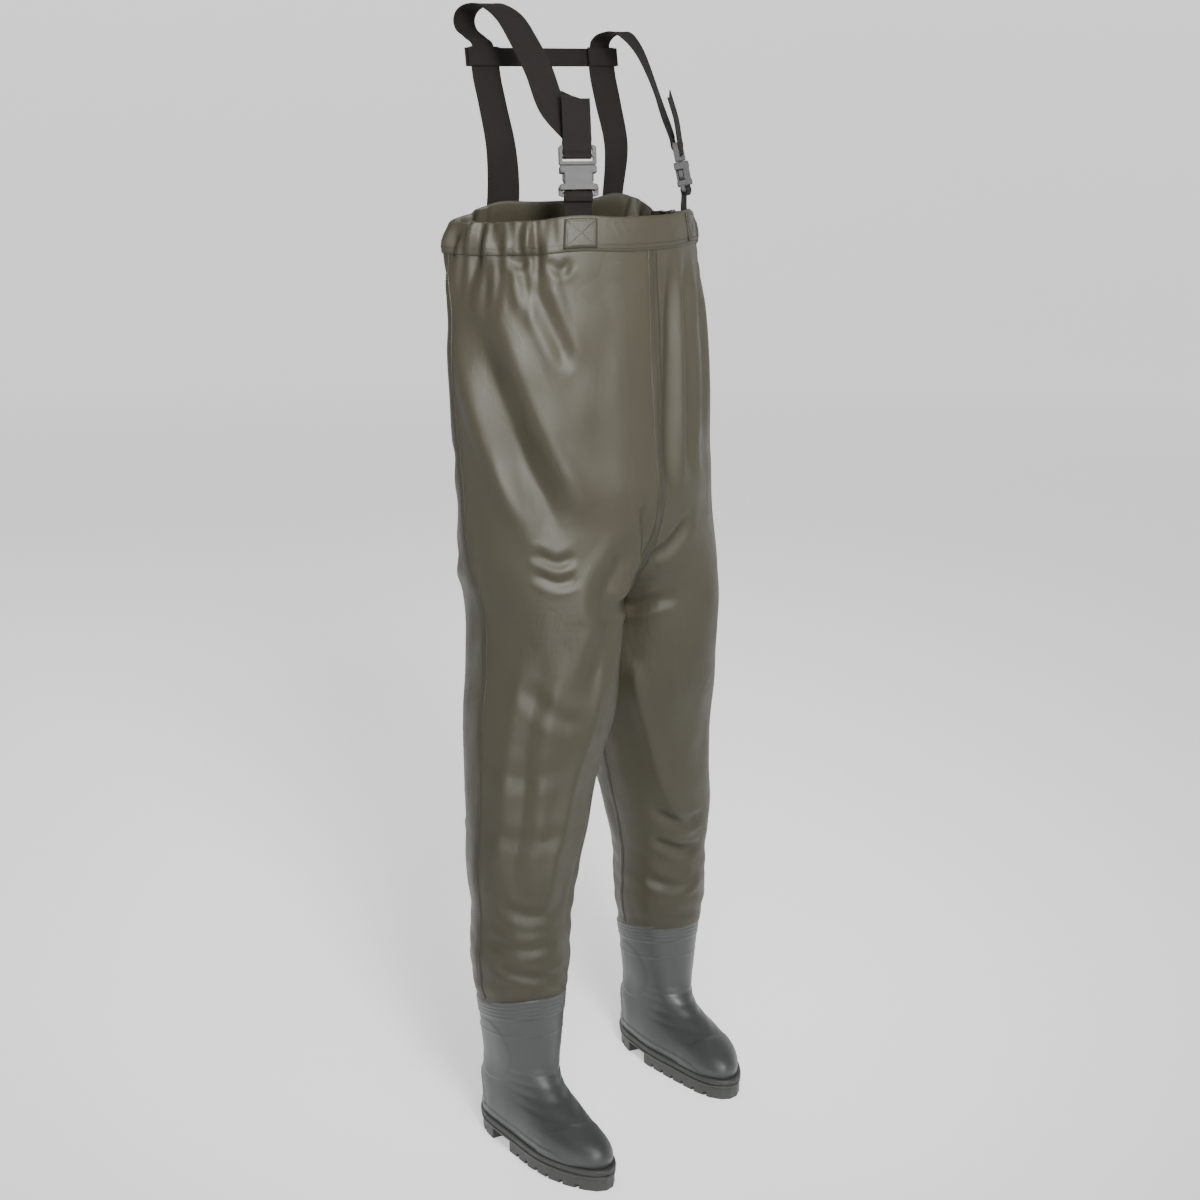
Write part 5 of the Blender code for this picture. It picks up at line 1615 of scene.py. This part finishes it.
    def _sole(self, side: Side, finishes: Finishes, runner: Runner) -> None:
        """The sole plate with its groove, and the nubs along its welt."""
        steps = (
            (0.0160, 0.0035), (0.0162, 0.0015), (0.0172, 0.0004), (0.0190, 0.0), (0.0206, 0.0004),
            (0.0211, 0.0030), (0.0222, 0.0030), (0.0228, 0.0004), (0.0250, -0.0004), (0.0284, 0.0),
            (0.0296, 0.0008), (0.0300, 0.0030),
        )
        angle = np.linspace(0.0, 2 * math.pi, self.segments + 1)[:-1]
        toe, heel, half, widen = self.last.sole
        rings = []
        for z, inset in steps:
            flat = self.last.ring(side, angle, toe - inset, heel - inset, half - inset, widen)
            rings.append(np.concatenate([flat, np.full((len(flat), 1), z)], axis=1))
        stack = self.last.in_world(side, np.stack(rings))
        piece = lofted(f"sole_plate_{side.label}", stack, finishes.sole)
        settle(piece, nodes=[f"boot_sole_{side.label}"])
        welt = np.concatenate([stack[8], stack[8][:1]])
        nubs = runner.run(f"welt_nubs_{side.label}", [welt], finishes.sole, 0.0050, (0.0022, 0.0014, 0.0014))
        settle(nubs)


# --- studio -----------------------------------------------------------------------------------


@dataclass(frozen=True)
class Studio:
    """A plain pale floor, soft lights and the camera."""

    eye: tuple = (-2.1556, -2.2144, 1.4696)
    ahead: tuple = (0.6748, 0.7023, -0.2270)
    lens: float = 68.085
    segments: int = 96
    wall_at: float = 8.0
    curve: float = 2.5
    wall_high: float = 4.6
    room: float = 0.20
    glow: float = 0.60

    def camera(self) -> None:
        """Sets up the camera."""
        data = bpy.data.cameras.new("camera")
        data.lens, data.sensor_width = self.lens, 36.0
        camera = bpy.data.objects.new("camera", data)
        back = -Vector(self.ahead).normalized()
        across = Vector((0, 0, 1)).cross(back).normalized()
        up = back.cross(across)
        turn = Matrix((across, up, back)).transposed().to_4x4()
        camera.matrix_world = Matrix.Translation(self.eye) @ turn
        bpy.context.scene.collection.objects.link(camera)
        bpy.context.scene.camera = camera

    def _light(
        self,
        name: str,
        place: Sequence[float],
        at: Sequence[float],
        size: float,
        power: float,
        spread: float,
    ) -> None:
        """A round area light.

        Args:
            name: the light's name.
            place: where it stands.
            at: where it points.
            size: its width.
            power: its watts.
            spread: how wide its beam is, in degrees.
        """
        data = bpy.data.lights.new(name, "AREA")
        data.shape, data.size, data.energy, data.spread = "DISK", size, power, math.radians(spread)
        lamp = bpy.data.objects.new(name, data)
        aim = Vector(at) - Vector(place)
        lamp.matrix_world = Matrix.Translation(place) @ aim.to_track_quat("-Z", "Y").to_matrix().to_4x4()
        bpy.context.scene.collection.objects.link(lamp)

    def build(self) -> None:
        """Makes the sweep, the world and the lights."""
        world = bpy.data.worlds.new("studio")
        world.use_nodes = True
        world.node_tree.nodes["Background"].inputs[0].default_value = (1.0, 1.0, 1.0, 1.0)
        world.node_tree.nodes["Background"].inputs[1].default_value = self.room
        bpy.context.scene.world = world
        self._sweep()
        self._light("key", (-1.25, -2.15, 2.35), (0.0, 0.0, 1.15), 0.8, 17.0, 55.0)
        self._light("low", (-2.4, -2.2, 1.6), (0.0, 0.0, 0.15), 0.8, 0.8, 30.0)
        self._light("top", (-0.5, -0.9, 3.3), (0.0, 0.0, 0.5), 1.6, 16.0, 120.0)
        self._light("back", (1.5, 2.6, 2.8), (0.0, 0.0, 0.75), 2.0, 22.0, 180.0)

    def _sweep(self) -> None:
        """A round pale floor that curves up into a low wall on every side."""
        profile = [(0.01, 0.0), (self.wall_at, 0.0)]
        for k in range(1, 13):
            angle = math.pi / 2 * k / 12
            profile.append((self.wall_at + self.curve * math.sin(angle), self.curve * (1 - math.cos(angle))))
        profile.append((self.wall_at + self.curve, self.wall_high))
        turns = np.linspace(0.0, 2 * math.pi, self.segments + 1)[:-1]
        points = [(r * math.cos(a), r * math.sin(a), z) for r, z in profile for a in turns]
        faces = [face[::-1] for face in grid_faces(len(profile), self.segments, True)]
        faces.append(list(range(self.segments)))
        mesh = bpy.data.meshes.new("floor")
        mesh.from_pydata(points, [], faces)
        mesh.polygons.foreach_set("use_smooth", np.ones(len(mesh.polygons), bool))
        floor = bpy.data.objects.new("floor", mesh)
        bpy.context.scene.collection.objects.link(floor)
        paint = Paint("pale_floor")
        paint.finish(
            Base_Color=(0.9, 0.9, 0.9, 1.0),
            Roughness=1.0,
            Emission_Color=(1.0, 1.0, 1.0, 1.0),
            Emission_Strength=self.glow,
        )
        mesh.materials.append(paint.material)


def main() -> None:
    """Builds the waders over their frame."""
    logging.basicConfig(level=logging.INFO, format="%(name)s: %(message)s")
    studio = Studio()
    studio.camera()
    studio.build()
    finishes, runner = Finishes(), Runner()
    form = Form(CUT, FOLDS)
    Boots(BOOT).build(finishes, runner)
    Garment(form).build(finishes, runner)
    Harness(form).build(finishes, runner)
    bpy.context.view_layer.update()


if __name__ == "__main__":
    main()
